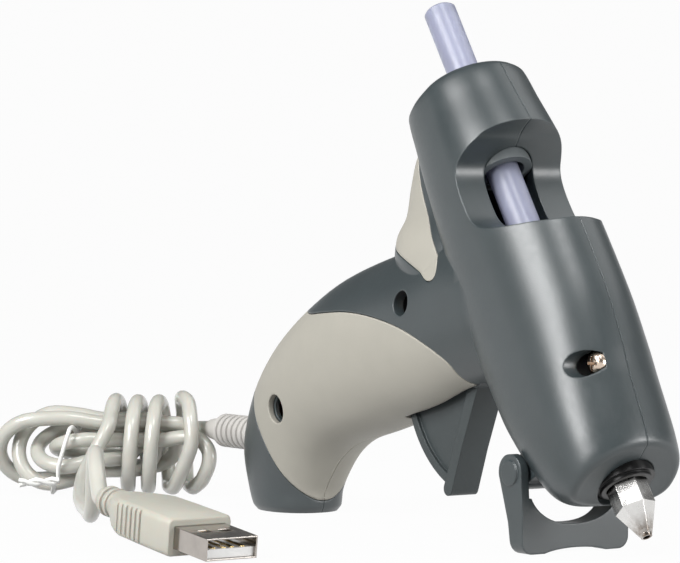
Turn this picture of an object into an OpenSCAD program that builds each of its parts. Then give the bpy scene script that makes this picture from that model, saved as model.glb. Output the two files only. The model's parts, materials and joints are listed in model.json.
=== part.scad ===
// Small low-power hot-melt glue gun on its fold-out stand, with its cord bundled beside it.
// Row frame: X forward to the nozzle, Y to the gun's left, Z up, table at Z = 0.
// Barrel frame: A along the glue stick to the nozzle, Y to the left, U away from the handle.

/* [Posture] */
// Nose-down slope of the barrel, degrees
tilt = 56.3; // [50:0.1:62]
// Height of the barrel frame's origin above the table
barrel_z = 104.8; // [100:0.1:110]
// Forward place of the barrel frame's origin
barrel_x = 5.35; // [3:0.05:8]

/* [Casing] */
// Wall of the two casing halves
wall = 2.6; // [2.2:0.1:3]
// Depth of the seats for the light skins
seat = 1.5; // [1.2:0.1:1.8]
// Thickness of the light skins
skin = 1.4; // [1:0.1:1.6]
// Groove round a light skin
groove = 0.2; // [0.1:0.05:0.4]
// Radius of the trough round the glue stick in the window
trough_r = 6.5; // [6:0.1:7]
// Radius of a screw's deep hole
screw_hole_r = 2.7; // [2.5:0.1:3]

/* [Glue path] */
// Diameter of the glue stick
stick_d = 7; // [6.8:0.1:7.2]
// Rear end of the glue stick along the barrel
stick_rear = -9; // [-20:1:-4]
// Front end of the glue stick along the barrel
stick_front = 84; // [80:1:88]
// Radius of the melt chamber
chamber_r = 6.3; // [6:0.1:6.5]
// Orifice of the nozzle
orifice_d = 1.6; // [1.2:0.1:2]
// Nozzle hexagon across its corners
hex_d = 8.4; // [8:0.1:9]

/* [Trigger] */
// Trigger pivot, forward
trigger_x = 19; // [18.5:0.1:19.5]
// Trigger pivot, height
trigger_z = 35.5; // [35:0.1:36]
// Radius of the trigger's arc
arc_r = 26.8; // [26.6:0.1:27.2]
// Diameter of the pivot pin
pin_d = 2.2; // [2:0.1:2.4]
// Length of the trigger's feed arm
arm_l = 18; // [17.5:0.1:18.5]
// Travel of the trigger, degrees
trigger_travel = 16; // [12:1:18]

/* [Stand] */
// Stand pivot, forward
stand_x = 44.7; // [44.5:0.1:45]
// Stand pivot, height
stand_z = 16.3; // [16:0.1:16.6]
// Diameter of the stand's pivot pin
stand_pin_d = 3; // [2.8:0.1:3.2]
// Half width of the stand
stand_half = 13.5; // [13.2:0.1:13.8]
// Inner half width of the stand
stand_inner = 11.6; // [11.5:0.1:11.7]

/* [Cord] */
// Diameter of the cord
cord_d = 3.6; // [3.4:0.1:3.8]
// Circle of strands at the hank's waist
waist_r = 6.3; // [6.2:0.1:6.5]
// Circle of strands near the hank's left end
fan_r = 8.8; // [7.6:0.1:8.9]

/* [Plug] */
// Width of the plug's metal shell
usb_w = 12; // [11.9:0.1:12.1]
// Height of the plug's metal shell
usb_h = 4.5; // [4.4:0.1:4.6]
// Nose-down lean of the plug, degrees
usb_lean = 7; // [6.5:0.5:7.5]

/* [Hidden] */

dark = [0.33, 0.37, 0.38];
light = [0.72, 0.70, 0.65];
steel = [0.75, 0.75, 0.76];
facets = 48;
around = 32;

// Barrel sections: place along A, half width, reach above and below the stick axis, rearward lean
BARREL = [
  [12.3, 11.1, 11.0, 13.9, 0.05],
  [13.5, 12.0, 11.9, 15.0, 0.04],
  [20, 12.6, 12.8, 15.8, 0],
  [30, 13.5, 14.3, 16.6, 0],
  [42, 13.8, 15.8, 18, 0],
  [56, 13.9, 16.7, 19.4, 0],
  [70, 14.1, 16.4, 20.4, 0],
  [83, 14.1, 14.8, 20, 0],
  [94, 14.1, 12.6, 17, 0],
  [101, 13.6, 11.6, 14.8, 0],
  [105, 12.8, 11.1, 12.9, 0],
  [107.6, 11.4, 10, 11, 0],
  [109, 8, 7.6, 8, 0]
];

// Handle sections: place along the handle, back point X Z, palm point X Z, half width
HANDLE = [
  [-8, 31, 66, 40, 38, 11.6],
  [0, 21, 67.5, 28.5, 34, 13.3],
  [14, 6.6, 63.4, 18, 31, 13.8],
  [28, -9.8, 60, 7, 27, 14.2],
  [43, -27.9, 55, -6, 23.7, 14.2],
  [57, -43, 48.1, -19, 20.2, 13.8],
  [70, -57.4, 38.3, -30.5, 17.2, 13],
  [82, -67.6, 26.3, -37.8, 13.4, 11.8],
  [91, -72, 14, -42.6, 8.6, 10.7],
  [97, -70.2, 5.5, -45.4, 4.4, 9.8],
  [101, -68.4, 1.4, -46, 1.4, 9.4],
  [102.6, -67.2, 0, -47, 0, 8.4]
];

// Web sections between barrel and handle: order, back point X Z, inner point X Z, half width
WEB = [
  [0, 2.5, 86, 21, 86, 7],
  [6, -3, 80, 23, 80, 8.3],
  [12, -4.6, 74, 23, 74, 9],
  [18, -6, 68, 25, 68, 9.6],
  [23, -8.5, 63, 25, 63, 11.2],
  [26.5, -8.4, 59.5, 25, 59.5, 12],
  [30, -5, 56, 25, 56, 12.2],
  [36, 2, 50, 24, 50, 10.5]
];

// Side view of the window scoop: A and U
SCOOP = [
  [29.2, 30], [29.4, 12.5], [30.6, 8], [32, 4.4], [33.8, 1.9], [37, 0.7], [42, 0.4],
  [46, 0.9], [49, 3], [51.6, 7.5], [54, 13.2], [55.3, 17.5], [55.8, 30]
];

// Upper edge of the grip skin, from the tip by the barrel to the back: X and Z
GRIP_TOP = [[34, 27.6], [26, 29.8], [20.4, 33.2], [18.9, 37.4], [13.7, 41], [5.2, 44.3], [-5.6, 46.3], [-17, 47], [-28.6, 46.4], [-35, 46], [-42, 46.6]];
// Lower edge of the grip skin along the dark foot: X and Z
GRIP_FOOT = [[-44.4, 0.5], [-45.7, 3], [-47.3, 6], [-50.2, 10.9], [-53.5, 16.7], [-58.4, 24], [-63, 32], [-67, 40]];
// Edge of the rear skin: along the barrel crease, round the lower tip, then to the back: X and Z
REAR_EDGE = [[1, 84], [5.8, 75], [10.8, 66.6], [15.1, 60.4], [16.9, 57.2], [16.6, 55], [14, 54.6], [9.4, 56.9], [3.6, 59.2], [-3, 61.5], [-12, 65.6]];

// Barrel screw's place in the barrel frame
SCREW_A = 86.4;
SCREW_U = 10.9;

function s_of(c) = c < 0 ? -1 : 1;
function power(c, e) = s_of(c) * pow(abs(c), e);
function slope(p, q, c) = (q[c] - p[c]) / (q[0] - p[0]);
function mean_slope(a, b) = a * b <= 0 ? 0 : 2 * a * b / (a + b);
function tangent(t, i, c) = i == 0 ? slope(t[0], t[1], c)
  : i == len(t) - 1 ? slope(t[i - 1], t[i], c)
  : mean_slope(slope(t[i - 1], t[i], c), slope(t[i], t[i + 1], c));
function hermite(t, i, c, f) = let(h = t[i + 1][0] - t[i][0])
  (2 * f * f * f - 3 * f * f + 1) * t[i][c] + (f * f * f - 2 * f * f + f) * h * tangent(t, i, c)
  + (3 * f * f - 2 * f * f * f) * t[i + 1][c] + (f * f * f - f * f) * h * tangent(t, i + 1, c);
// Rows between the driving rows, with no overshoot
function smooth(t, n) = [
  for (i = [0 : len(t) - 2]) let(m = t[i + 1][0] - t[i][0] < 6.6 ? 1 : n) for (j = [0 : m - 1])
    [for (c = [0 : len(t[0]) - 1]) c == 0 ? t[i][0] + (t[i + 1][0] - t[i][0]) * j / m : hermite(t, i, c, j / m)],
  t[len(t) - 1]
];
// Points between the points of a flat outline
function rounded(p, n) = [
  for (i = [0 : len(p) - 2]) for (j = [0 : n - 1])
    let(f = j / n, a = p[max(i - 1, 0)], b = p[i], c = p[i + 1], d = p[min(i + 2, len(p) - 1)])
      0.5 * (2 * b + (c - a) * f + (2 * a - 5 * b + 4 * c - d) * f * f + (3 * b - a - 3 * c + d) * f * f * f),
  p[len(p) - 1]
];

squareness = 2.2;
keel_squareness = 2.8;
function barrel_ring(r, d) = [for (i = [0 : around - 1])
  let(q = 360 * i / around, e = q <= 180 ? 1 : 2 / keel_squareness,
      u = (q <= 180 ? r[2] - d : r[3] - d) * power(sin(q), e))
    [r[0] - r[4] * (r[2] - u), (r[1] - d) * power(cos(q), e), u]];
function span_ring(r, d) = let(l = norm([r[1] - r[3], r[2] - r[4]]), g = (l / 2 - d) / l)
  [for (i = [0 : around - 1]) let(q = 360 * i / around, k = g * power(sin(q), 2 / squareness))
    [(r[1] + r[3]) / 2 + (r[1] - r[3]) * k, (r[5] - d) * power(cos(q), 2 / squareness),
     (r[2] + r[4]) / 2 + (r[2] - r[4]) * k]];

// Solid through rings of equal point count
module loft(rings) {
  k = len(rings[0]);
  n = len(rings);
  points = [for (ring = rings) for (p = ring) p];
  sides = [for (j = [0 : n - 2]) for (i = [0 : k - 1]) let(a = j * k + i, b = j * k + (i + 1) % k)
    each [[a, b, b + k], [a, b + k, a + k]]];
  caps = [[for (i = [k - 1 : -1 : 0]) i], [for (i = [0 : k - 1]) (n - 1) * k + i]];
  polyhedron(points, concat(sides, caps), convexity = 8);
}

module in_barrel() {
  translate([barrel_x, 0, barrel_z]) rotate([0, tilt, 0]) children();
}
// Straight prism along Y from an outline in A and U, or in X and Z
module across(y0, y1) {
  translate([0, y1, 0]) rotate([90, 0, 0]) linear_extrude(y1 - y0) children();
}
module rod_y(r, y0, y1, fn = facets) {
  translate([0, y1, 0]) rotate([90, 0, 0]) cylinder(r = r, h = y1 - y0, $fn = fn);
}
module rod_a(r, a0, a1, fn = facets) {
  translate([a0, 0, 0]) rotate([0, 90, 0]) cylinder(r = r, h = a1 - a0, $fn = fn);
}

module barrel_loft(d, n) {
  rings = [for (r = smooth(BARREL, n)) barrel_ring(r, d)];
  loft([for (i = [len(rings) - 1 : -1 : 0]) rings[i]]);
}
module span_loft(t, d, n) {
  loft([for (r = smooth(t, n)) span_ring(r, d)]);
}
module body(d, n = 2) {
  in_barrel() barrel_loft(d, n);
  span_loft(HANDLE, d, n);
  span_loft(WEB, d, 1);
}
module scoop(d = 0) {
  across(-30, 30) offset(delta = d) polygon(rounded(SCOOP, 2));
}
module cavity() {
  difference() {
    intersection() {
      body(wall, 1);
      union() {
        translate([-100, -30, wall]) cube([200, 60, 84]);
        in_barrel() translate([15.8, -30, -30]) cube([89, 60, 60]);
      }
    }
    in_barrel() scoop(wall);
    in_barrel() translate([104.8, -30, -30]) cube([20, 60, 60]);
  }
}

// Flat outline of the grip skin, open past the body at the palm and the back
module grip_outline() {
  polygon(concat(rounded(GRIP_TOP, 2), [[-50, 47], [-67, 47]],
    [for (i = [len(GRIP_FOOT) - 1 : -1 : 0]) GRIP_FOOT[i]], [[-30, -6], [0, 8], [33, 24]]));
}
module rear_outline() {
  polygon(concat(rounded(REAR_EDGE, 2), [[-20, 85.3], [0.4, 85.3]]));
}
module skin_seat() {
  difference() {
    union() {
      across(-20, 20) offset(delta = groove) grip_outline();
      across(-20, 20) offset(delta = groove) rear_outline();
    }
    body(seat, 1);
  }
}
// One side's half of a skin; side is -1 for the right and 1 for the left
module half_skin(side) {
  intersection() {
    body(0, 2);
    across(side < 0 ? -20 : 0.05, side < 0 ? -0.05 : 20) children();
    difference() {
      translate([-100, -30, -5]) cube([200, 60, 130]);
      body(skin, 1);
    }
  }
}

// Ribs and bosses inside one half
module rib_slab(a0, a1, r) {
  in_barrel() difference() {
    translate([a0, -30, -13]) cube([a1 - a0, 60, 40]);
    rod_a(r, a0 - 1, a1 + 1, 32);
  }
}
module insides(side) {
  intersection() {
    body(wall - 0.4, 1);
    union() {
      rib_slab(26, 29.5, 6.35);
      rib_slab(75.5, 77.5, 6.7);
      rib_slab(83, 85, chamber_r + 0.05);
      rib_slab(99, 101, chamber_r + 0.05);
      in_barrel() {
        for (u = [-2.7, 1.5])
          translate([55, side < 0 ? -20 : 7.4, u]) cube([19.5, 12.6, 1.2]);
      }
      translate([trigger_x, 0, trigger_z]) rod_y(3, side < 0 ? -20 : 4.7, side < 0 ? -4.7 : 20, 24);
      for (p = screw_places())
        translate([p[0], 0, p[1]]) rod_y(side < 0 ? p[2] : 3.4, side < 0 ? -20 : 0.05, side < 0 ? -0.05 : 20, 24);
    }
  }
}
function to_row(a, u) = [barrel_x + a * cos(tilt) + u * sin(tilt), barrel_z - a * sin(tilt) + u * cos(tilt)];
// Each screw's X and Z, and its boss in the right half
function screw_places() = [[-46.6, 24.3, 4.4], [5.6, 49.6, 4.4], concat(to_row(SCREW_A, SCREW_U), [3.9])];
// Where each screw's head seats, and how far its tip reaches
head_y = [-7, -8, -3.2];
tip_y = [7.5, 7.5, 5.6];

module screw_cuts(side) {
  for (i = [0 : 2]) translate([screw_places()[i][0], 0, screw_places()[i][1]]) {
    if (side < 0) {
      rod_y(screw_hole_r, -20, head_y[i], 32);
      rod_y(1.7, -20, 1, 20);
    } else {
      rod_y(1.25, -1, tip_y[i] + 0.5, 20);
    }
  }
}

// Lug under the nose that carries the stand
module stand_lug(y0, y1) {
  in_barrel() across(y0, y1) {
    hull() {
      translate([95.46, -16.36]) circle(r = 3.5, $fn = 32);
      translate([92.2, -11]) square([6.5, 3]);
    }
  }
}

module shell(side) {
  y0 = side < 0 ? -30 : 0.03;
  color(dark) resize([0, 0, 0]) difference() {
    union() {
      difference() {
        intersection() {
          union() {
            body(0, 2);
            stand_lug(-10.9, 10.9);
          }
          translate([-100, y0, -1]) cube([200, 29.97, 130]);
        }
        cavity();
      }
      intersection() {
        insides(side);
        translate([-100, y0, -1]) cube([200, 29.97, 130]);
      }
    }
    skin_seat();
    in_barrel() {
      scoop();
      rod_a(trough_r, 29.5, 56);
      rod_a(6.35, 25.95, 29.6, 32);
      rod_a(4.6, 10, 20);
      rod_a(6.3, 104, 112);
      translate([95.46, 0, -16.36]) rod_y(stand_pin_d / 2 + 0.02, -30, 30, 32);
    }
    screw_cuts(side);
    translate([trigger_x, 0, trigger_z]) {
      rod_y(pin_d / 2 + 0.02, -5.85, 5.85, 32);
      rod_y(3.8, -4.7, 4.7, 32);
    }
    lead_pair(1);
    trigger_slot();
    translate([-78, 0, boot_end[2]]) rotate([0, 90, 0]) cylinder(r = 3.33, h = 14, $fn = 32);
  }
}
module trigger_slot() {
  intersection() {
    across(-4.7, 4.7) difference() {
      translate([trigger_x, trigger_z]) circle(r = arc_r + 0.5, $fn = 64);
      translate([trigger_x - 40, trigger_z]) square([80, 40]);
    }
    translate([-20, -10, 0]) cube([43, 20, 60]);
  }
}

module right_shell() { shell(-1); }
module left_shell() { shell(1); }
module right_grip() {
  color(light) resize([0, 0, 0]) difference() {
    half_skin(-1) grip_outline();
    translate([-46.6, 0, 24.3]) rod_y(3.3, -20, 0, 32);
    trigger_slot();
  }
}
module left_grip() {
  color(light) resize([0, 0, 0]) difference() {
    half_skin(1) grip_outline();
    trigger_slot();
  }
}
module right_rear_panel() { color(light) resize([0, 0, 0]) half_skin(-1) rear_outline(); }
module left_rear_panel() { color(light) resize([0, 0, 0]) half_skin(1) rear_outline(); }

module case_screws() {
  color(steel) for (i = [0 : 2]) translate([screw_places()[i][0], 0, screw_places()[i][1]]) {
    difference() {
      union() {
        rod_y(2.4, head_y[i] - 1.6, head_y[i]);
        rod_y(1.2, head_y[i], tip_y[i]);
      }
      translate([-1.6, head_y[i] - 1.7, -0.3]) cube([3.2, 1.1, 0.6]);
      translate([-0.3, head_y[i] - 1.7, -1.6]) cube([0.6, 1.1, 3.2]);
    }
  }
}

module guide_ring() {
  color([0.6, 0.62, 0.62]) in_barrel() difference() {
    union() {
      rod_a(6.3, 25.9, 33.4);
      rod_a(7.4, 24.4, 25.95);
    }
    rod_a(4.5, 20, 40);
  }
}

module glue_stick() {
  color([0.85, 0.84, 0.88]) in_barrel() difference() {
    rod_a(stick_d / 2, stick_rear, stick_front);
    translate([stick_rear, 0, 0]) rotate([0, 90, 0]) difference() {
      translate([0, 0, -1]) cylinder(r = 5, h = 1.4, $fn = facets);
      cylinder(r1 = stick_d / 2 - 0.4, r2 = stick_d / 2, h = 0.4, $fn = facets);
    }
  }
}

fork_a = 62.72;
module feed_carriage() {
  color([0.25, 0.26, 0.27]) in_barrel() difference() {
    union() {
      translate([57.5, -6.4, -6.4]) cube([9, 12.8, 11.2]);
      translate([58.5, -10.2, -1.1]) cube([7, 20.4, 2.2]);
      translate([fork_a - 4.1, -3.4, -12]) cube([8.2, 6.8, 6.5]);
    }
    rod_a(stick_d / 2 + 0.35, 50, 70);
    translate([fork_a - 2.1, -4, -13]) cube([4.2, 8, 6.5]);
  }
}
module feed_clip() {
  color(steel) in_barrel() difference() {
    union() {
      translate([66.5, -5.4, -5.4]) cube([0.7, 10.8, 9.6]);
      translate([61, -4, 4.8]) cube([6.2, 8, 0.6]);
    }
    rod_a(stick_d / 2 + 0.3, 60, 70);
    translate([66, -0.4, -7]) cube([2, 0.8, 5]);
  }
}

// The trigger swings on its hub: sector web, rimmed arc, finger plate, feed arm
module trigger() {
  head = [barrel_a(trigger_x, trigger_z) - arm_l * sin(trigger_travel / 2),
          barrel_u(trigger_x, trigger_z) + arm_l * cos(trigger_travel / 2)];
  color([0.29, 0.32, 0.33]) difference() {
    union() {
      translate([trigger_x, 0, trigger_z]) {
        across(-2.6, 2.6) sector(0, arc_r - 0.3, 184);
        across(-3.4, 3.4) sector(arc_r - 1.9, arc_r, 184);
        across(-3.5, 3.5) {
          polygon([[1.6, -1], [-2.5, -10.3], [-5.4, -16.8], [-9, -26.2], [-11.8, -25.1], [-2, -1]]);
          translate([-10.4, -25.65]) circle(r = 1.5, $fn = 24);
        }
        rod_y(3.4, -4.2, 4.2);
      }
      in_barrel() across(-2.2, 2.2) {
        pivot = [barrel_a(trigger_x, trigger_z), barrel_u(trigger_x, trigger_z)];
        translate(pivot) rotate(90 + trigger_travel / 2) translate([0, -1.3]) square([arm_l - 1, 2.6]);
        translate(head) circle(r = 1.8, $fn = 32);
      }
    }
    translate([trigger_x, 0, trigger_z]) {
      rod_y(pin_d / 2 + 0.05, -10, 10);
      rod_y(3.5, 0.6, 10);
    }
  }
}
function barrel_a(x, z) = (x - barrel_x) * cos(tilt) - (z - barrel_z) * sin(tilt);
function barrel_u(x, z) = (x - barrel_x) * sin(tilt) + (z - barrel_z) * cos(tilt);
// Piece of a ring between the angle start and the finger plate
module sector(r0, r1, start) {
  difference() {
    intersection() {
      circle(r = r1, $fn = 96);
      polygon([[0, 0], 60 * [cos(start), sin(start)], 60 * [cos(215), sin(215)], 60 * [cos(247), sin(247)]]);
    }
    if (r0 > 0) circle(r = r0, $fn = 96);
  }
}

module trigger_pin() {
  color(steel) translate([trigger_x, 0, trigger_z]) rod_y(pin_d / 2, -5.8, 5.8);
}

// Torsion spring beside the hub, as one swept wire
spring_turns = 4;
module trigger_spring() {
  n = 14;
  wire = 0.35;
  route = concat(
    [[0.4, 12.5, 4.1], [1.2, 8, 4.1], [1.9, 4, 4.1]],
    [for (i = [0 : spring_turns * n]) let(q = -360 * i / n) [2.05 * cos(q), 2.05 * sin(q), 4.1 - 2.9 * i / (spring_turns * n)]],
    [[2.3, -2.2, 1.2], [2.6, -2.9, 1.2]]
  );
  color(steel) translate([trigger_x, 0, trigger_z]) rotate([0, 45, 0])
    tube([for (p = route) [p[0], p[2], p[1]]], wire, 6);
}

// Tube through route points, with level ring frames
function unit(v) = v / max(norm(v), 0.000001);
function direction(p, i) = unit(p[min(i + 1, len(p) - 1)] - p[max(i - 1, 0)]);
function start_side(t) = unit(cross(t, abs(t[2]) < 0.9 ? [0, 0, 1] : [0, 1, 0]));
function sides(p, i = 0, s = undef, out = []) = i == len(p) ? out
  : let(t = direction(p, i), b = s == undef ? start_side(t) : unit(s - (s * t) * t))
      sides(p, i + 1, b, concat(out, [b]));
module tube(p, r, k) {
  s = sides(p);
  rings = [for (i = [0 : len(p) - 1]) let(t = direction(p, i), a = s[i], b = cross(t, a))
    [for (j = [0 : k - 1]) p[i] + r * (cos(360 * j / k) * a + sin(360 * j / k) * b)]];
  points = [for (ring = rings) for (q = ring) [q[0], q[1], max(q[2], 0)]];
  n = len(p);
  walls = [for (j = [0 : n - 2]) for (i = [0 : k - 1]) let(a = j * k + i, b = j * k + (i + 1) % k)
    each [[a, b + k, b], [a, a + k, b + k]]];
  ends = [for (i = [1 : k - 2]) each [[0, i, i + 1], [(n - 1) * k, (n - 1) * k + i + 1, (n - 1) * k + i]]];
  polyhedron(points, concat(walls, ends), convexity = 10);
}

module melt_chamber() {
  color([0.78, 0.79, 0.8]) in_barrel() difference() {
    union() {
      rod_a(4.9, 74, 80);
      rod_a(chamber_r, 80, 101);
      rod_a(4.6, 101, 105.5);
      translate([86, -5, -7]) cube([12, 10, 4]);
      for (a = [87.5, 91.5, 95.5]) rod_a(chamber_r + 0.5, a, a + 1);
    }
    rod_a(stick_d / 2 + 0.35, 73, 95);
    translate([94.99, 0, 0]) rotate([0, 90, 0]) cylinder(r1 = stick_d / 2 + 0.35, r2 = 1.7, h = 4, $fn = facets);
    rod_a(2.5, 98.9, 106);
  }
}
module inlet_sleeve() {
  color([0.75, 0.3, 0.2]) in_barrel() difference() {
    union() {
      rod_a(6.65, 74.2, 79.9);
      rod_a(5.6, 73.2, 74.2);
    }
    rod_a(4.95, 74, 80);
    rod_a(stick_d / 2 + 0.45, 73, 75);
  }
}
module heater_plate() {
  color([0.85, 0.8, 0.7]) in_barrel() translate([86.5, -4.6, -10.05]) cube([11, 9.2, 3]);
}
module heater_clip() {
  color([0.7, 0.6, 0.35]) in_barrel() across_ring();
}
// Strap round chamber and heater
module across_ring() {
  translate([89, 0, 0]) rotate([0, 90, 0]) linear_extrude(2.2) difference() {
    hull() {
      circle(r = chamber_r + 0.6, $fn = 40);
      translate([8, -5.3]) square([2.6, 10.6]);
    }
    hull() {
      circle(r = chamber_r + 0.05, $fn = 40);
      translate([8, -4.7]) square([2.06, 9.4]);
    }
  }
}

module nozzle() {
  color([0.8, 0.79, 0.76]) in_barrel() difference() {
    union() {
      rod_a(2.45, 100, 107.5);
      rod_a(3.3, 105.55, 107.6);
      translate([107.5, 0, 0]) rotate([0, 90, 0]) rotate(12) cylinder(d = hex_d, h = 6.1, $fn = 6);
      translate([113.5, 0, 0]) rotate([0, 90, 0]) rotate(12) cylinder(d1 = hex_d, d2 = 2.6, h = 6.1, $fn = 6);
      translate([119.3, 0, 0]) rotate([0, 90, 0]) cylinder(r1 = 1.3, r2 = 1.15, h = 0.7, $fn = facets);
    }
    rod_a(1.6, 99, 111);
    rod_a(orifice_d / 2, 110, 121);
  }
}
module nozzle_collar() {
  color([0.08, 0.08, 0.08]) in_barrel() difference() {
    union() {
      rod_a(6.2, 104.9, 107.9);
      rod_a(5.4, 107.9, 108.6);
    }
    rod_a(3.4, 104, 110);
    rod_a(4.75, 104, 105.55);
    rod_a(4.3, 107.45, 110);
  }
}

// Fold-out stand: a plate with two eyed arms and a shallow arch between its feet
module stand() {
  color(dark) difference() {
    intersection() {
      across(-stand_half, stand_half) union() {
        translate([stand_x, stand_z]) circle(r = 3.8, $fn = facets);
        polygon(concat(
          [[stand_x + 3.75, stand_z - 0.6], [stand_x - 3.75, stand_z - 0.6]],
          [[stand_x - 2.2, stand_z - 5.2], [stand_x - 0.6, stand_z - 10], [stand_x + 0.4, 0]],
          [[stand_x + 4.2, 0], [stand_x + 4.3, 8]]));
      }
      translate([stand_x - 10, 0, 0]) rotate([90, 0, 90]) linear_extrude(20) stand_front();
    }
    for (y = [-1, 1]) translate([stand_x, 0, stand_z])
      rod_y(stand_pin_d / 2 + 0.05, y < 0 ? -12.7 : 11, y < 0 ? -11 : 12.7);
  }
}
module stand_front() {
  corner = 4.6;
  difference() {
    union() {
      translate([-stand_half, 2.5]) square([2 * stand_half, 22]);
      translate([-stand_half + 2.5, 0]) square([2 * stand_half - 5, 3]);
      for (y = [-1, 1]) translate([y * (stand_half - 2.5), 2.5]) circle(r = 2.5, $fn = 32);
    }
    translate([-stand_inner, 5.8 + corner]) square([2 * stand_inner, 20]);
    translate([-stand_inner + corner, 5.8]) square([2 * (stand_inner - corner), 10]);
    for (y = [-1, 1]) translate([y * (stand_inner - corner), 5.8 + corner]) circle(r = corner, $fn = 48);
    translate([0, -1.2]) scale([9.5 / 2.1, 1]) circle(r = 2.1, $fn = 64);
  }
}
module stand_pins() {
  color(steel) translate([stand_x, 0, stand_z]) rod_y(stand_pin_d / 2, -12.5, 12.5);
}

// Two insulated leads from the strain relief to the heater
LEAD_HANDLE = [[-67.4, 1.6, 16.4], [-64.6, 1.6, 16.4], [-60, 3, 21], [-54.6, 4.6, 30], [-44, 6, 37], [-26, 7, 41],
  [-6, 6.6, 43], [10, 6.2, 43], [22, 6, 42.4]];
LEAD_BARREL = [[68, 6, -15], [75, 5.6, -12.9], [81, 4.2, -10.4], [85, 3, -8.6], [86.5, 3, -8.6]];
lead_route = concat(LEAD_HANDLE, [for (p = LEAD_BARREL) let(q = to_row(p[0], p[2])) [q[0], p[1], q[1]]]);
module lead_pair(r) {
  for (y = [-1, 1]) tube([for (p = lead_route) [p[0], y * p[1], p[2]]], r, 8);
}
module power_leads() {
  color([0.7, 0.1, 0.1]) lead_pair(0.7);
}

// Ribbed boot on the back of the handle
boot_end = [-95.4, 0, 16.4];
module strain_relief() {
  color([0.7, 0.69, 0.66]) translate(boot_end) rotate([0, 90, 0]) difference() {
    union() {
      cylinder(r1 = 2.4, r2 = 3.3, h = 6, $fn = 32);
      translate([0, 0, 5.99]) cylinder(r = 3.3, h = 22, $fn = 32);
      for (i = [0 : 5]) translate([0, 0, 6.2 + 2.3 * i]) cylinder(r = 4, h = 1.4, $fn = 32);
      translate([0, 0, 20]) cylinder(r = 4, h = 2.6, $fn = 32);
    }
    translate([0, 0, -1]) cylinder(r = cord_d / 2 + 0.03, h = 9, $fn = 32);
  }
}

// The hank lies along its own axis: R along it to the right end, D toward the plug, H above the axis
hank_x = -109.8;
hank_y = -9.5;
hank_turn = 57;
hank_z = 12;
function droop(r) = let(f = min(1, max(0, (-10 - r) / 26))) 1.5 * f * f * (3 - 2 * f);
function lay(r, d, h) = [hank_x + r * cos(hank_turn) + d * sin(hank_turn),
  hank_y + r * sin(hank_turn) - d * cos(hank_turn), hank_z - droop(r) + h];
function ringed(r, radius, q) = lay(r, radius * cos(q), radius * sin(q));
function strand_r(r) = let(f = min(1, max(0, (-10 - r) / 13))) waist_r + (fan_r - waist_r) * f * f * (3 - 2 * f);
loops = 4;
function left_end(i) = -36.6 + 4.6 * i;
function right_end(i) = 6.4 - 4.6 * i;
function strand_q(i) = 60 + 45 * i;
function steps(a, b, n) = [for (i = [0 : n - 1]) a + (b - a) * i / n];
// Half turn whose direction swings by the angle swing about the hank's axis on the way
function fold(end, side, radius, q, swing) = [for (i = [0 : 8]) let(t = 22.5 * i, f = min(1, max(0, (t - 50) / 80)))
  ringed(end + side * radius * (1 - sin(t)), radius * cos(t), q + swing * f)];
// One loop: out along its strand, round the left end, back along the opposite strand, round the right end
function loop_points(i) = let(q = strand_q(i), start = i == 0 ? 4 : right_end(i - 1) - waist_r,
    turn = left_end(i) + strand_r(left_end(i) + 7), back = i < loops - 1 ? right_end(i) - waist_r : 3) concat(
  [for (r = steps(start - 2.6, turn + 1.5, 4)) ringed(r, strand_r(r), q)],
  fold(left_end(i), 1, strand_r(left_end(i) + 7), q, 0),
  [for (r = steps(turn + 4, back, 4)) ringed(r, strand_r(r), q + 180)],
  i < loops - 1 ? fold(right_end(i), -1, waist_r, q + 180, 45) : []
);
wrap_r = waist_r + cord_d + 0.7;
// Turns round the waist: turns made, place along the axis, slack beyond wrap_r
WRAP = [[0.12, 10.9, 0], [0.26, 8.8, 0], [0.44, 7.9, 0], [0.66, 7.6, 0.8], [0.78, 10.3, 2.2], [0.9, 10.8, 1.6],
  [1.04, 7.4, 0.4], [1.17, 4.8, 0], [1.67, 2.2, 0], [2.17, -0.4, 0], [2.67, -2.9, 0], [3.17, -5.3, 0], [3.8, -9, 0.4]];
wrap_turns = 3.8;
function wrap_col(s, c) = lookup(s, [for (w = WRAP) [w[0], w[c]]]);
function wrap_points() = [for (i = [0 : 52]) let(s = WRAP[0][0] + i * (wrap_turns - WRAP[0][0]) / 52)
  ringed(wrap_col(s, 1), wrap_r + wrap_col(s, 2), -30 - 360 * s)];
HANK_IN = [[-98.9, -0.2, 16.3], [-102, -2.2, 16.2]];
hank_route = concat(
  [HANK_IN[0]],
  rounded([HANK_IN[1], lay(7.4, 2.9, 5.3), ringed(2.6, waist_r, 60)], 2),
  [for (i = [0 : loops - 1]) each loop_points(i)],
  rounded([ringed(4, waist_r, 15), ringed(8.2, 6.6, 20), ringed(12.2, 7.7, 15), ringed(14.8, 9.1, -6),
    ringed(14.6, 10.2, -28), ringed(12.9, 10.5, -52)], 2),
  wrap_points()
);

function self_gap(p, skip) = min([for (i = [0 : len(p) - 1]) for (j = [i + skip : 1 : len(p) - 1]) norm(p[i] - p[j])]);
function run_length(p) = let(l = [for (i = [1 : len(p) - 1]) norm(p[i] - p[i - 1])]) l * [for (i = [1 : len(p) - 1]) 1];
echo(hank_self_gap = self_gap(hank_route, 6) - cord_d, hank_length = run_length(hank_route), tail_length = run_length(tail_route));  // cord_hank

sheath = [0.78, 0.78, 0.74];
module cord_lead() {
  color(sheath) tube([boot_end + [7, 0, 0], boot_end, [-97.2, 0, 16.4], HANK_IN[0] - 0.8 * unit(HANK_IN[1] - HANK_IN[0]), HANK_IN[0]], cord_d / 2, 8);
}
module cord_hank() { color(sheath) tube(hank_route, cord_d / 2, 6); }

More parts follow.
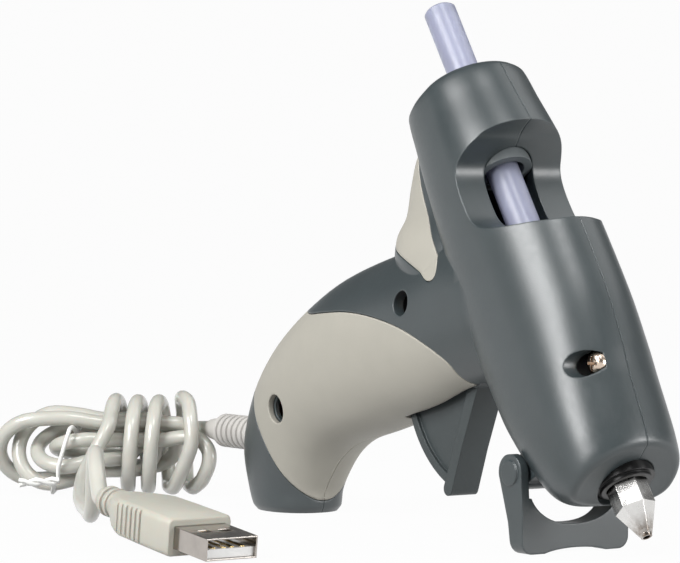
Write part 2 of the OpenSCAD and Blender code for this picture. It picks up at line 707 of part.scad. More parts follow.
plug_front = [25.9, -67.6, 2.52];
plug_turn = 2;
function on_plug(l) = plug_front - l * [cos(usb_lean) * cos(plug_turn), cos(usb_lean) * sin(plug_turn), -sin(usb_lean)];
hank_out = hank_route[len(hank_route) - 1];
hank_last = hank_out + 0.9 * (hank_out - hank_route[len(hank_route) - 2]);
tail_route = concat(
  [hank_out, hank_last],
  rounded([[-104.4, -28.3, 10.2], [-97, -34.6, 6.6], [-82.3, -43.4, 3], [-68, -49.6, 1.5], [-57, -54.6, 1.5],
    [-50.2, -57.6, 4], [-46.5, -59.4, 9.8], [-42.8, -61.2, 14.8], [-37.6, -63.7, 17], [-32.6, -66.2, 14.9],
    [-28.6, -67.9, 11.1], on_plug(51.2)], 2), [on_plug(48.8)],
  [on_plug(46)]
);
module cord_tail() { color(sheath) tube(tail_route, cord_d / 2, 8); }

// Wire tie round the hank's left half but under its top strands, its two ends twisted together in front
tie_r = 0.55;
function tie_reach(q) = 5 + 6.2 * min(1, max(0, (abs(q + 255) - 59) / 17));
module twist_tie() {
  ring = [for (i = [0 : 43]) let(q = -38 - 8 * i, p = ringed(-20.2 + 3.4 * sin(q), tie_reach(q), q)) [p[0], p[1], max(p[2], tie_r)]];
  twist = function(s, f) let(p = 250 * s + f) lay(-21.6 - 5.2 * s, 9.7 + 1.4 * s + 0.65 * cos(p), -7.4 + 0.3 * s + 0.65 * sin(p));
  first = [for (i = [7 : -1 : 0]) twist(i / 4, 30)];
  second = [for (i = [0 : 7]) twist(i / 4, 210)];
  color([0.93, 0.93, 0.92]) tube(concat(first, ring, second), tie_r, 6);
}

// The plug is drawn with its axis along X, its mouth at 0 and its cord end behind
module on_cord() {
  translate(plug_front) rotate([0, 0, plug_turn]) rotate([0, usb_lean, 0]) children();
}
// Overmould sections: place, width, height, corner radius
MOULD = [
  [-42.2, 6.8, 6.4, 3], [-39.6, 9.6, 6.9, 2.8], [-36.4, 12.6, 7.3, 2.2], [-33.4, 14.4, 7.6, 1.6], [-32, 14.8, 7.7, 1.4],
  [-24, 15.1, 7.8, 1.3], [-12.6, 15.2, 7.9, 1.3], [-12, 14.5, 7.2, 1]
];
// Rounded rectangle of 16 points across the plug's axis
function section(x, w, h, r) = [for (c = [0 : 3]) for (i = [0 : 3]) let(q = 90 * c + 30 * i)
  [x, (c == 0 || c == 3 ? 1 : -1) * (w / 2 - r) + r * cos(q), (c < 2 ? 1 : -1) * (h / 2 - r) + r * sin(q)]];
module usb_body() {
  color([0.9, 0.89, 0.84]) on_cord() difference() {
    union() {
      loft([for (i = [len(MOULD) - 1 : -1 : 0]) let(m = MOULD[i]) section(m[0], m[1], m[2], m[3])]);
      translate([-49, 0, 0]) rotate([0, 90, 0]) cylinder(r1 = 2.6, r2 = 3, h = 9, $fn = 32);
      for (i = [0 : 2]) translate([-47.4 + 2.2 * i, 0, 0]) rotate([0, 90, 0]) cylinder(r = 3.25, h = 1.1, $fn = 32);
    }
    translate([-50, 0, 0]) rotate([0, 90, 0]) cylinder(r = cord_d / 2 + 0.03, h = 8, $fn = 32);
    translate([-16, -usb_w / 2 - 0.02, -usb_h / 2 - 0.02]) cube([5, usb_w + 0.04, usb_h + 0.04]);
    for (i = [0 : 5]) for (y = [-1, 1]) translate([-32.2 + 1.8 * i, y * 9.1 - 2, -3.4]) cube([0.7, 4, 6.8]);
  }
}
module usb_shell() {
  color([0.82, 0.82, 0.83]) on_cord() difference() {
    translate([-16, -usb_w / 2, -usb_h / 2]) cube([16, usb_w, usb_h]);
    translate([-17, -usb_w / 2 + 0.3, -usb_h / 2 + 0.3]) cube([20, usb_w - 0.6, usb_h - 0.6]);
    for (y = [-3.55, 1.25]) translate([-7.6, y, -4]) cube([2.2, 2.3, 8]);
  }
}
module usb_tongue() {
  color([0.93, 0.93, 0.93]) on_cord() difference() {
    union() {
      translate([-16, -usb_w / 2 + 0.35, -usb_h / 2 + 0.33]) cube([15.2, usb_w - 0.7, 1.85]);
      translate([-16, -usb_w / 2 + 0.35, -usb_h / 2 + 0.33]) cube([3, usb_w - 0.7, usb_h - 0.66]);
    }
    for (y = [-3.5, -1, 1, 3.5]) translate([-11, y - 0.6, -usb_h / 2 + 1.98]) cube([9.6, 1.2, 0.5]);
  }
}
module usb_contacts() {
  color([0.85, 0.68, 0.3]) on_cord() for (y = [-3.5, -1, 1, 3.5])
    translate([-10.9, y - 0.5, -usb_h / 2 + 1.99]) cube([9.4, 1, 0.3]);
}

right_shell();
left_shell();
right_grip();
left_grip();
right_rear_panel();
left_rear_panel();
case_screws();
guide_ring();
glue_stick();
feed_carriage();
feed_clip();
trigger();
trigger_pin();
trigger_spring();
melt_chamber();
inlet_sleeve();
heater_plate();
heater_clip();
nozzle();
nozzle_collar();
stand();
stand_pins();
power_leads();
strain_relief();
cord_lead();
cord_hank();
cord_tail();
twist_tie();
usb_body();
usb_shell();
usb_tongue();
usb_contacts();
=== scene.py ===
"""Looks of a small hot-melt glue gun that stands nose down on its fold-out stand, its cord bundled beside it.

Lengths are written in millimetres and turned into metres where a mesh is made.
Row frame: X forward to the nozzle, Y to the gun's left, Z up, table at Z = 0.
Barrel frame: A along the glue stick to the nozzle, Y to the left, U away from the handle.
"""

import json
import logging
import math
from dataclasses import dataclass, field
from enum import Enum

import bmesh
import bpy
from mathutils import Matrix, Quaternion, Vector

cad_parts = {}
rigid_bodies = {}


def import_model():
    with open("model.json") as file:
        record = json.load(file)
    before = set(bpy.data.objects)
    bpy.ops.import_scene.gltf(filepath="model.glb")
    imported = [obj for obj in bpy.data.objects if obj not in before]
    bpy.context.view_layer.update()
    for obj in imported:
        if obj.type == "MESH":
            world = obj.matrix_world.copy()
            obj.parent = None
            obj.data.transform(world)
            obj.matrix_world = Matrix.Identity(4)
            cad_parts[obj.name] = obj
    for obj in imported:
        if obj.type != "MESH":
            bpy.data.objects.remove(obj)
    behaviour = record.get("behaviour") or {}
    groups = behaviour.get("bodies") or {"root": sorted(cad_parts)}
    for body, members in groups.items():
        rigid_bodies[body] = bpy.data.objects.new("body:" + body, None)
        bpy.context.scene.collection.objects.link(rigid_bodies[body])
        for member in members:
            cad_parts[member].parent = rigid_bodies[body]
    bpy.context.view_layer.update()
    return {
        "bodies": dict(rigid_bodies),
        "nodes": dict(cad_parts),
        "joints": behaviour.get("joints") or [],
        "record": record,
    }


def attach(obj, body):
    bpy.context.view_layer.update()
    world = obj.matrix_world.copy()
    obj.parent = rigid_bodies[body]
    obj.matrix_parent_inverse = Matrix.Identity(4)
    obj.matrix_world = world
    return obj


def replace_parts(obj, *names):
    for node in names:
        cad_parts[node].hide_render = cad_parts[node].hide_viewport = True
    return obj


MM = 0.001
LOG = logging.getLogger("glue_gun")

Point = tuple[float, float, float]
Flat = tuple[float, float]
Row = tuple[float, ...]
Colour = tuple[float, float, float]
Socket = bpy.types.NodeSocket


class Side(Enum):
    """The two halves of the gun, by the sign of Y."""

    RIGHT = -1
    LEFT = 1


class Body(Enum):
    """The rigid bodies that newly made pieces ride on."""

    CASE = "case"
    STAND = "stand"


class Solve(Enum):
    """What a cutting tool does to the solid that it meets."""

    CUT = "DIFFERENCE"
    KEEP = "INTERSECT"
    JOIN = "UNION"


class Graph:
    """A node-based material under construction."""

    def __init__(self, name: str) -> None:
        """Starts an empty material.

        Args:
            name: Name of the material.
        """
        self.material = bpy.data.materials.new(name)
        self.material.use_nodes = True
        self.tree = self.material.node_tree
        self.tree.nodes.clear()
        self.output = self.tree.nodes.new("ShaderNodeOutputMaterial")

    def add(self, kind: str, **settings: object) -> bpy.types.Node:
        """Adds a node and sets its properties.

        Args:
            kind: Node type without its ShaderNode prefix.
            **settings: Properties of the node.

        Returns:
            The new node.
        """
        node = self.tree.nodes.new("ShaderNode" + kind)
        for key, value in settings.items():
            setattr(node, key, value)
        return node

    def feed(self, target: Socket, value: Socket | Colour | float) -> None:
        """Links an input, or sets it.

        Args:
            target: Input socket.
            value: Output socket to link, or the colour, direction or number to set.
        """
        if isinstance(value, Socket):
            self.tree.links.new(value, target)
        else:
            target.default_value = (*value, 1) if target.type == "RGBA" else value

    def surface(self, values: dict[str, Socket | Colour | float]) -> bpy.types.Material:
        """Adds the surface shader and ends the material with it.

        Args:
            values: What each of the shader's inputs gets.

        Returns:
            The material.
        """
        shader = self.add("BsdfPrincipled")
        for name, value in values.items():
            self.feed(shader.inputs[name], value)
        self.feed(self.output.inputs["Surface"], shader.outputs[0])
        return self.material

    def calculate(self, operation: str, first: Socket, second: Socket | float) -> Socket:
        """Works out a value from two others.

        Args:
            operation: Kind of calculation.
            first: First value.
            second: Second value.

        Returns:
            The result.
        """
        node = self.add("Math", operation=operation)
        self.feed(node.inputs[0], first)
        self.feed(node.inputs[1], second)
        return node.outputs[0]

    def place(self) -> Socket:
        """Gives the point of the surface in metres, in the piece's own frame.

        Returns:
            The coordinate socket.
        """
        return self.add("TexCoord").outputs["Object"]

    def noise(self, scale: float, detail: float, where: Socket | None = None) -> Socket:
        """Adds a noise pattern.

        Args:
            scale: Features per metre.
            detail: Octaves.
            where: Coordinates, or None for the plain place.

        Returns:
            The grey value.
        """
        node = self.add("TexNoise")
        node.inputs["Scale"].default_value = scale
        node.inputs["Detail"].default_value = detail
        self.feed(node.inputs["Vector"], where or self.place())
        return node.outputs["Fac"]

    def remap(self, value: Socket, low: float, high: float, start: float = 0.3, stop: float = 0.7) -> Socket:
        """Maps a grey value to a range, held at its ends.

        Args:
            value: The grey value.
            low: Result at the start.
            high: Result at the stop.
            start: Grey value that gives low.
            stop: Grey value that gives high.

        Returns:
            The mapped value.
        """
        node = self.add("MapRange")
        self.feed(node.inputs["Value"], value)
        for key, number in (("From Min", start), ("From Max", stop), ("To Min", low), ("To Max", high)):
            node.inputs[key].default_value = number
        return node.outputs["Result"]

    def blend(self, share: Socket, first: Socket | Colour, second: Socket | Colour) -> Socket:
        """Mixes two colours.

        Args:
            share: Share of the second colour.
            first: Colour or colour socket.
            second: Colour or colour socket.

        Returns:
            The mixed colour.
        """
        node = self.add("Mix", data_type="RGBA")
        for index, value in ((0, share), (6, first), (7, second)):
            self.feed(node.inputs[index], value)
        return node.outputs[2]

    def edges(self, radius: float) -> tuple[Socket, Socket]:
        """Finds edges by rounding the normals near them.

        Args:
            radius: Edge radius in millimetres.

        Returns:
            The rounded normal, and a value that grows towards an edge.
        """
        bevel = self.add("Bevel", samples=6)
        bevel.inputs["Radius"].default_value = radius * MM
        dot = self.add("VectorMath", operation="DOT_PRODUCT")
        self.feed(dot.inputs[0], bevel.outputs["Normal"])
        self.feed(dot.inputs[1], self.add("NewGeometry").outputs["Normal"])
        return bevel.outputs["Normal"], self.remap(dot.outputs["Value"], 1, 0, 0.6, 0.99)

    def bump(self, height: Socket, depth: float, strength: float, normal: Socket) -> Socket:
        """Turns a height into a normal.

        Args:
            height: Grey height.
            depth: Depth in millimetres.
            strength: Strength of the relief.
            normal: Normal to start from.

        Returns:
            The bumped normal.
        """
        node = self.add("Bump")
        node.inputs["Strength"].default_value = strength
        node.inputs["Distance"].default_value = depth * MM
        self.feed(node.inputs["Height"], height)
        self.feed(node.inputs["Normal"], normal)
        return node.outputs["Normal"]


def shaded(colour: Colour, factor: float) -> Colour:
    """Makes a colour lighter or darker.

    Args:
        colour: The colour.
        factor: Multiplier.

    Returns:
        The new colour.
    """
    return tuple(min(1.0, c * factor) for c in colour)


@dataclass(frozen=True)
class MouldedFinish:
    """A moulded plastic or rubber with spark-eroded grain, slight mottling and a painted highlight along its
    edges, lighter in patches.
    """

    name: str
    colour: Colour
    roughness: float = 0.45
    grain: float = 0.02
    grain_scale: float = 3200
    edge: float = 0.35
    # edge_gain: how much lighter the edges are painted, a painted highlight.
    edge_gain: float = 1.25
    specular: float = 0.5
    coat: float = 0.0
    subsurface: float = 0.0
    mottle: float = 0.06

    def make(self) -> bpy.types.Material:
        """Builds the material.

        Returns:
            The material.
        """
        g = Graph(self.name)
        soft, near_edge = g.edges(self.edge)
        cloud = g.remap(g.noise(160, 4), 0, 1)
        base = g.blend(cloud, shaded(self.colour, 1 - self.mottle), shaded(self.colour, 1 + self.mottle))
        # Painted highlight: the edges are painted lighter by edge_gain, broken into patches by noise.
        patchy_edge_highlight = g.calculate("MULTIPLY", near_edge, g.remap(g.noise(700, 3), 0.15, 0.8))
        inside = {"Subsurface Weight": self.subsurface, "Subsurface Scale": 1.5 * MM}
        return g.surface({
            "Base Color": g.blend(patchy_edge_highlight, base, shaded(self.colour, self.edge_gain)),
            "Roughness": g.remap(g.noise(900, 4), self.roughness - 0.02, self.roughness + 0.03),
            "Normal": g.bump(g.noise(self.grain_scale, 2), self.grain, 0.5, soft),
            "Specular IOR Level": self.specular,
            "Coat Weight": self.coat,
            "Coat Roughness": 0.12,
            **(inside if self.subsurface > 0 else {}),
        })


@dataclass(frozen=True)
class MetalFinish:
    """A metal with machining lines along one direction, patches of haze and perhaps a burnt tip."""

    name: str
    colour: Colour
    roughness: float = 0.22
    line_axis: Point = (0, 0, 1)
    line_scale: float = 9000
    line_depth: float = 0.003
    edge: float = 0.15
    tip_at: float | None = None
    tip_length: float = 4.2
    tip_colour: Colour = (0.16, 0.11, 0.07)

    def make(self) -> bpy.types.Material:
        """Builds the material.

        Returns:
            The material.
        """
        g = Graph(self.name)
        soft, _ = g.edges(self.edge)
        dot = g.add("VectorMath", operation="DOT_PRODUCT")
        g.feed(dot.inputs[0], g.place())
        g.feed(dot.inputs[1], self.line_axis)
        along = dot.outputs["Value"]
        line = g.add("CombineXYZ")
        g.feed(line.inputs["X"], along)
        lines = g.noise(self.line_scale, 1, line.outputs[0])
        haze = g.noise(300, 4)
        colour = g.blend(g.remap(haze, 0, 1), shaded(self.colour, 0.86), self.colour)
        if self.tip_at is not None:
            burnt = g.remap(along, 0, 1, (self.tip_at - self.tip_length) * MM, self.tip_at * MM)
            patch = g.calculate("MULTIPLY", burnt, g.remap(g.noise(900, 4), 0.35, 1, 0.35, 0.6))
            colour = g.blend(patch, colour, self.tip_colour)
        return g.surface({
            "Base Color": colour,
            "Roughness": g.remap(haze, self.roughness - 0.05, self.roughness + 0.1),
            "Normal": g.bump(lines, self.line_depth, 0.5, soft),
            "Metallic": 1,
        })


@dataclass(frozen=True)
class GlueFinish:
    """Milky hot-melt glue with faint clouds inside, a waxy skin and a slight painted highlight along its
    edges.
    """

    name: str
    colour: Colour
    roughness: float = 0.34

    def make(self) -> bpy.types.Material:
        """Builds the material.

        Returns:
            The material.
        """
        g = Graph(self.name)
        soft, near_edge = g.edges(0.25)
        clouds = g.blend(g.remap(g.noise(240, 5), 0, 1), shaded(self.colour, 0.93), self.colour)
        return g.surface({
            # Painted highlight: the edges are painted slightly lighter.
            "Base Color": g.blend(near_edge, clouds, shaded(self.colour, 1.08)),
            "Roughness": g.remap(g.noise(600, 4), self.roughness - 0.06, self.roughness + 0.1),
            "Normal": g.bump(g.noise(1500, 3), 0.02, 0.4, soft),
            "Transmission Weight": 0.45,
            "IOR": 1.48,
            "Subsurface Weight": 0.3,
            "Subsurface Radius": (1, 0.95, 1.1),
            "Subsurface Scale": 2 * MM,
        })


def power(c: float, e: float) -> float:
    """Raises a number's size to a power and keeps its sign.

    Args:
        c: The number.
        e: The exponent.

    Returns:
        The result.
    """
    return math.copysign(abs(c) ** e, c)


def slope(p: Row, q: Row, c: int) -> float:
    """Rise of a column between two rows, per unit of their first column.

    Args:
        p: First row.
        q: Second row.
        c: Column.

    Returns:
        The slope.
    """
    return (q[c] - p[c]) / (q[0] - p[0])


def tangent(t: list[Row], i: int, c: int) -> float:
    """Slope at a row that makes no overshoot.

    Args:
        t: The rows.
        i: Row number.
        c: Column.

    Returns:
        The slope.
    """
    if i == 0:
        return slope(t[0], t[1], c)
    if i == len(t) - 1:
        return slope(t[i - 1], t[i], c)
    a, b = slope(t[i - 1], t[i], c), slope(t[i], t[i + 1], c)
    return 0.0 if a * b <= 0 else 2 * a * b / (a + b)


def smooth(t: list[Row], n: int) -> list[Row]:
    """Rows between the driving rows.

    Args:
        t: Driving rows, whose first column is the order.
        n: Rows per gap.

    Returns:
        All rows.
    """
    out: list[Row] = []
    for i in range(len(t) - 1):
        h = t[i + 1][0] - t[i][0]
        for j in range(n):
            f = j / n
            row = [t[i][0] + h * f]
            for c in range(1, len(t[0])):
                row.append(
                    (2 * f**3 - 3 * f**2 + 1) * t[i][c]
                    + (f**3 - 2 * f**2 + f) * h * tangent(t, i, c)
                    + (3 * f**2 - 2 * f**3) * t[i + 1][c]
                    + (f**3 - f**2) * h * tangent(t, i + 1, c)
                )
            out.append(tuple(row))
    out.append(t[-1])
    return out


def between(o: float, q: float, r: float, s: float, f: float) -> float:
    """Value between the middle two of four, on a smooth line through them.

    Args:
        o: First value.
        q: Second value.
        r: Third value.
        s: Fourth value.
        f: Share of the way from the second to the third.

    Returns:
        The value.
    """
    bend = 2 * o - 5 * q + 4 * r - s
    twist = 3 * q - o - 3 * r + s
    return 0.5 * (2 * q + (r - o) * f + bend * f**2 + twist * f**3)


def rounded(p: list[tuple], n: int) -> list[tuple]:
    """Points on a smooth line through the given points.

    Args:
        p: Points of any dimension.
        n: Points per gap.

    Returns:
        All points.
    """
    out = []
    for i in range(len(p) - 1):
        a, b, c, d = p[max(i - 1, 0)], p[i], p[i + 1], p[min(i + 2, len(p) - 1)]
        for j in range(n):
            out.append(tuple(between(*four, j / n) for four in zip(a, b, c, d)))
    out.append(p[-1])
    return out


def ellipse(centre: Flat, reach: Flat, turns: range) -> list[Flat]:
    """Points on a circle or an ellipse, or on part of one.

    Args:
        centre: Its centre.
        reach: Its radii along the two axes, negative to start on the other side.
        turns: Angles of the points in degrees.

    Returns:
        The points.
    """
    return [
        (centre[0] + reach[0] * math.cos(math.radians(q)), centre[1] + reach[1] * math.sin(math.radians(q)))
        for q in turns
    ]


def offset(p: list[Flat], d: float) -> list[Flat]:
    """Moves a closed outline outwards by a distance.

    Args:
        p: Outline.
        d: Distance, positive outwards.

    Returns:
        The new outline.
    """
    turn = sum(here[0] * after[1] - after[0] * here[1] for here, after in zip(p, p[1:] + p[:1]))
    sign = 1 if turn > 0 else -1
    out = []
    for i, here in enumerate(p):
        before, after = p[i - 1], p[(i + 1) % len(p)]
        e1 = Vector((here[0] - before[0], here[1] - before[1])).normalized()
        e2 = Vector((after[0] - here[0], after[1] - here[1])).normalized()
        n1, n2 = Vector((e1.y, -e1.x)) * sign, Vector((e2.y, -e2.x)) * sign
        mid = n1 + n2
        mid = mid.normalized() if mid.length > 1e-6 else n1
        reach = d / max(0.4, mid.dot(n1))
        out.append((here[0] + mid.x * reach, here[1] + mid.y * reach))
    return out


@dataclass(frozen=True)
class BarrelFrame:
    """Turns barrel coordinates into row coordinates."""

    tilt: float = math.radians(56.3)
    x: float = 5.35
    z: float = 104.8

    def point(self, a: float, y: float, u: float) -> Point:
        """Places a point of the barrel frame in the row frame.

        Args:
            a: Place along the barrel.
            y: Place to the left.
            u: Height away from the handle.

        Returns:
            The point in the row frame.
        """
        c, s = math.cos(self.tilt), math.sin(self.tilt)
        return (self.x + a * c + u * s, y, self.z - a * s + u * c)

    def axis(self) -> Point:
        """Gives the barrel's forward direction.

        Returns:
            Unit vector.
        """
        return (math.cos(self.tilt), 0.0, -math.sin(self.tilt))


BARREL_FRAME = BarrelFrame()


class Solid:
    """A closed mesh that others can cut, trim or join."""

    def __init__(self, name: str, points: list[Point], faces: list[tuple[int, ...]]) -> None:
        """Makes the object.

        Args:
            name: Name of the piece.
            points: Points in millimetres.
            faces: Faces, seen from outside.
        """
        mesh = bpy.data.meshes.new(name)
        mesh.from_pydata([(p[0] * MM, p[1] * MM, p[2] * MM) for p in points], [], faces)
        mesh.update()
        self.object = bpy.data.objects.new(name, mesh)
        bpy.context.scene.collection.objects.link(self.object)

    @classmethod
    def loft(cls, name: str, rings: list[list[Point]]) -> "Solid":
        """Makes a solid through rings of equal point count.

        Args:
            name: Name of the piece.
            rings: Rings in order.

        Returns:
            The solid.
        """
        k, n = len(rings[0]), len(rings)
        faces = [
            (j * k + i, j * k + (i + 1) % k, (j + 1) * k + (i + 1) % k, (j + 1) * k + i)
            for j in range(n - 1)
            for i in range(k)
        ]
        faces += [tuple(range(k - 1, -1, -1)), tuple((n - 1) * k + i for i in range(k))]
        made = cls(name, [p for ring in rings for p in ring], faces)
        made.face_out()
        return made

    @classmethod
    def prism(cls, name: str, outline: list[Flat], y0: float, y1: float, barrel: bool = False) -> "Solid":
        """Makes a straight prism along Y.

        Args:
            name: Name of the piece.
            outline: Outline in X and Z, or in A and U.
            y0: Right end.
            y1: Left end.
            barrel: True where the outline is in the barrel frame.

        Returns:
            The solid.
        """
        rings = []
        for y in (y0, y1):
            rings.append([BARREL_FRAME.point(a, y, u) if barrel else (a, y, u) for a, u in outline])
        return cls.loft(name, rings)

    @classmethod
    def across(cls, name: str, outline: list[Flat], x0: float, x1: float) -> "Solid":
        """Makes a straight prism along X.

        Args:
            name: Name of the piece.
            outline: Outline in Y and Z.
            x0: Rear end.
            x1: Front end.

        Returns:
            The solid.
        """
        return cls.loft(name, [[(x, y, z) for y, z in outline] for x in (x0, x1)])

    @classmethod
    def rod(cls, name: str, start: Point, end: Point, radius: float, count: int = 64) -> "Solid":
        """Makes a round bar between two points.

        Args:
            name: Name of the piece.
            start: Centre of the first end.
            end: Centre of the last end.
            radius: Its radius.
            count: Points round it.

        Returns:
            The solid.
        """
        return cls.turned(name, start, end, [(0, radius), (1, radius)], count)

    @classmethod
    def turned(cls, name: str, start: Point, end: Point, profile: list[Flat], count: int = 64) -> "Solid":
        """Makes a turned solid along a line.

        Args:
            name: Name of the piece.
            start: Where the profile's place 0 is.
            end: Where the profile's place 1 is.
            profile: Place along the line from 0 to 1, and radius.
            count: Points round it.

        Returns:
            The solid.
        """
        a, b = Vector(start), Vector(end)
        t = (b - a).normalized()
        s = t.orthogonal().normalized()
        if abs(t.y) < 0.5:
            s = t.cross(Vector((0, 1, 0))).normalized()
        w = t.cross(s)
        turns = [2 * math.pi * i / count for i in range(count)]
        rings = []
        for place, radius in profile:
            centre = a + (b - a) * place
            rings.append([tuple(centre + radius * (math.cos(q) * s + math.sin(q) * w)) for q in turns])
        return cls.loft(name, rings)

    @classmethod
    def copy(cls, other: "Solid", name: str) -> "Solid":
        """Copies a solid.

        Args:
            other: The solid to copy.
            name: Name of the copy.

        Returns:
            The copy.
        """
        made = cls.__new__(cls)
        made.object = bpy.data.objects.new(name, other.object.data.copy())
        made.object.data.name = name
        bpy.context.scene.collection.objects.link(made.object)
        return made

    def face_out(self) -> None:
        """Turns the faces outwards."""
        bm = bmesh.new()
        bm.from_mesh(self.object.data)
        bmesh.ops.recalc_face_normals(bm, faces=bm.faces)
        bm.to_mesh(self.object.data)
        bm.free()

    def meet(self, how: Solve, *tools: "Solid") -> "Solid":
        """Cuts, trims or joins this solid by others, which are used up.

        Args:
            how: What the tools do.
            *tools: The other solids.

        Returns:
            This solid.
        """
        for tool in tools:
            modifier = self.object.modifiers.new("meet", "BOOLEAN")
            modifier.operation = how.value
            modifier.solver = "MANIFOLD"
            modifier.object = tool.object
            graph = bpy.context.evaluated_depsgraph_get()
            mesh = bpy.data.meshes.new_from_object(self.object.evaluated_get(graph))
            self.object.modifiers.clear()
            self.object.data = mesh
            mesh.name = self.object.name
            bpy.data.objects.remove(tool.object)
        return self

    def dressed(
        self, material: bpy.types.Material, body: Body, slot: str, split: float = 28
    ) -> bpy.types.Object:
        """Gives the solid its finish and its body.

        Args:
            material: The finish.
            body: Body that it rides on.
            slot: The record's material slot; not used.
            split: Angle in degrees from which an edge stays crisp.

        Returns:
            The object.
        """
        mesh = self.object.data
        mesh.materials.clear()
        mesh.materials.append(material)
        shade(self.object, split)
        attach(self.object, body.value)
        return self.object


def shade(thing: bpy.types.Object, split: float) -> None:
    """Shades an object smoothly, with crisp edges above an angle.

    Args:
        thing: The object.
        split: The angle in degrees.
    """
    for face in thing.data.polygons:
        face.use_smooth = True
    weld = thing.modifiers.new("weld", "WELD")
    weld.merge_threshold = 0.004 * MM
    edges = thing.modifiers.new("edges", "EDGE_SPLIT")
    edges.split_angle = math.radians(split)


@dataclass
class Finishes:
    """All finishes of the gun, made once."""

    # edge_gain sets how strongly each moulding's edges are painted lighter, as a painted highlight.
    casing: MouldedFinish = MouldedFinish(
        "grey_green_moulding", (0.032, 0.042, 0.045), 0.36, 0.022, 3000, edge=0.5, edge_gain=3.0, specular=0.8
    )
    skin: MouldedFinish = MouldedFinish(
        "soft_grey_skin", (0.37, 0.355, 0.31), 0.5, 0.02, 3000, edge=0.6, edge_gain=2.4,
        specular=0.4, mottle=0.02,
    )
    trigger: MouldedFinish = MouldedFinish(
        "trigger_moulding", (0.037, 0.046, 0.048), 0.45, 0.016, 3600, edge=0.4, edge_gain=1.6
    )
    guide: MouldedFinish = MouldedFinish(
        "guide_moulding", (0.12, 0.135, 0.14), 0.4, 0.012, 3600, edge_gain=1.2
    )
    black: MouldedFinish = MouldedFinish(
        "black_moulding", (0.007, 0.007, 0.007), 0.3, 0.012, 3000, edge=0.3, edge_gain=2.2, specular=0.3
    )
    cord: MouldedFinish = MouldedFinish(
        "cord_sheath", (0.51, 0.505, 0.455), 0.32, 0.012, 1800, edge=0.3, edge_gain=1.02,
        specular=0.6, coat=0.5, subsurface=0.1, mottle=0.035,
    )
    boot: MouldedFinish = MouldedFinish(
        "boot_rubber", (0.52, 0.505, 0.48), 0.5, 0.012, 2600, edge=0.25, edge_gain=1.08
    )
    plug: MouldedFinish = MouldedFinish(
        "plug_moulding", (0.435, 0.425, 0.37), 0.42, 0.01, 2600, edge=0.5, edge_gain=1.06,
        subsurface=0.2, mottle=0.02,
    )
    insulator: MouldedFinish = MouldedFinish(
        "plug_insulator", (0.84, 0.84, 0.83), 0.35, 0.006, 3000, edge=0.1, edge_gain=1.05
    )
    tie: MouldedFinish = MouldedFinish(
        "tie_coating", (0.86, 0.86, 0.84), 0.3, 0.01, 2000, edge=0.1, edge_gain=1.04
    )
    silicone: MouldedFinish = MouldedFinish("red_silicone", (0.45, 0.13, 0.08), 0.5)
    ceramic: MouldedFinish = MouldedFinish("heater_ceramic", (0.74, 0.70, 0.62), 0.7, 0.03, 1500)
    lead: MouldedFinish = MouldedFinish("lead_sheath", (0.5, 0.05, 0.04), 0.35)
    glue: GlueFinish = GlueFinish("hot_melt", (0.415, 0.435, 0.57))
    nickel: MetalFinish = MetalFinish(
        "nickel", (0.84, 0.83, 0.81), 0.24, BARREL_FRAME.axis(), 7000, 0.004, edge=0.12,
        tip_at=BARREL_FRAME.x * BARREL_FRAME.axis()[0] + BARREL_FRAME.z * BARREL_FRAME.axis()[2] + 119.8,
    )
    plated: MetalFinish = MetalFinish("zinc_plate", (0.66, 0.66, 0.65), 0.28, (0, 1, 0), 5000, 0.002, 0.1)
    screw: MetalFinish = MetalFinish("screw_plate", (0.74, 0.61, 0.50), 0.2, (0, 1, 0), 5000, 0.002, 0.1)
    spring: MetalFinish = MetalFinish("spring_steel", (0.5, 0.5, 0.52), 0.3, (0, 1, 0), 8000, 0.002, 0.05)
    aluminium: MetalFinish = MetalFinish(
        "cast_aluminium", (0.6, 0.61, 0.62), 0.42, (0.3, 0.5, 0.8), 1200, 0.01, 0.2
    )
    brass: MetalFinish = MetalFinish("brass_strip", (0.72, 0.56, 0.28), 0.3, (0, 1, 0), 6000, 0.003, 0.1)
    tinned: MetalFinish = MetalFinish(
        "tinned_steel", (0.50, 0.465, 0.43), 0.16, (0.1, 1, 0), 4000, 0.0015, 0.2
    )
    gold: MetalFinish = MetalFinish("gold_flash", (0.86, 0.66, 0.30), 0.2, (0, 1, 0), 6000, 0.001, 0.05)
    made: dict[str, bpy.types.Material] = field(default_factory=dict)

    def get(self, name: str) -> bpy.types.Material:
        """Makes a finish on its first use.

        Args:
            name: Field name of the finish.

        Returns:
            The material.
        """
        if name not in self.made:
            self.made[name] = getattr(self, name).make()
        return self.made[name]


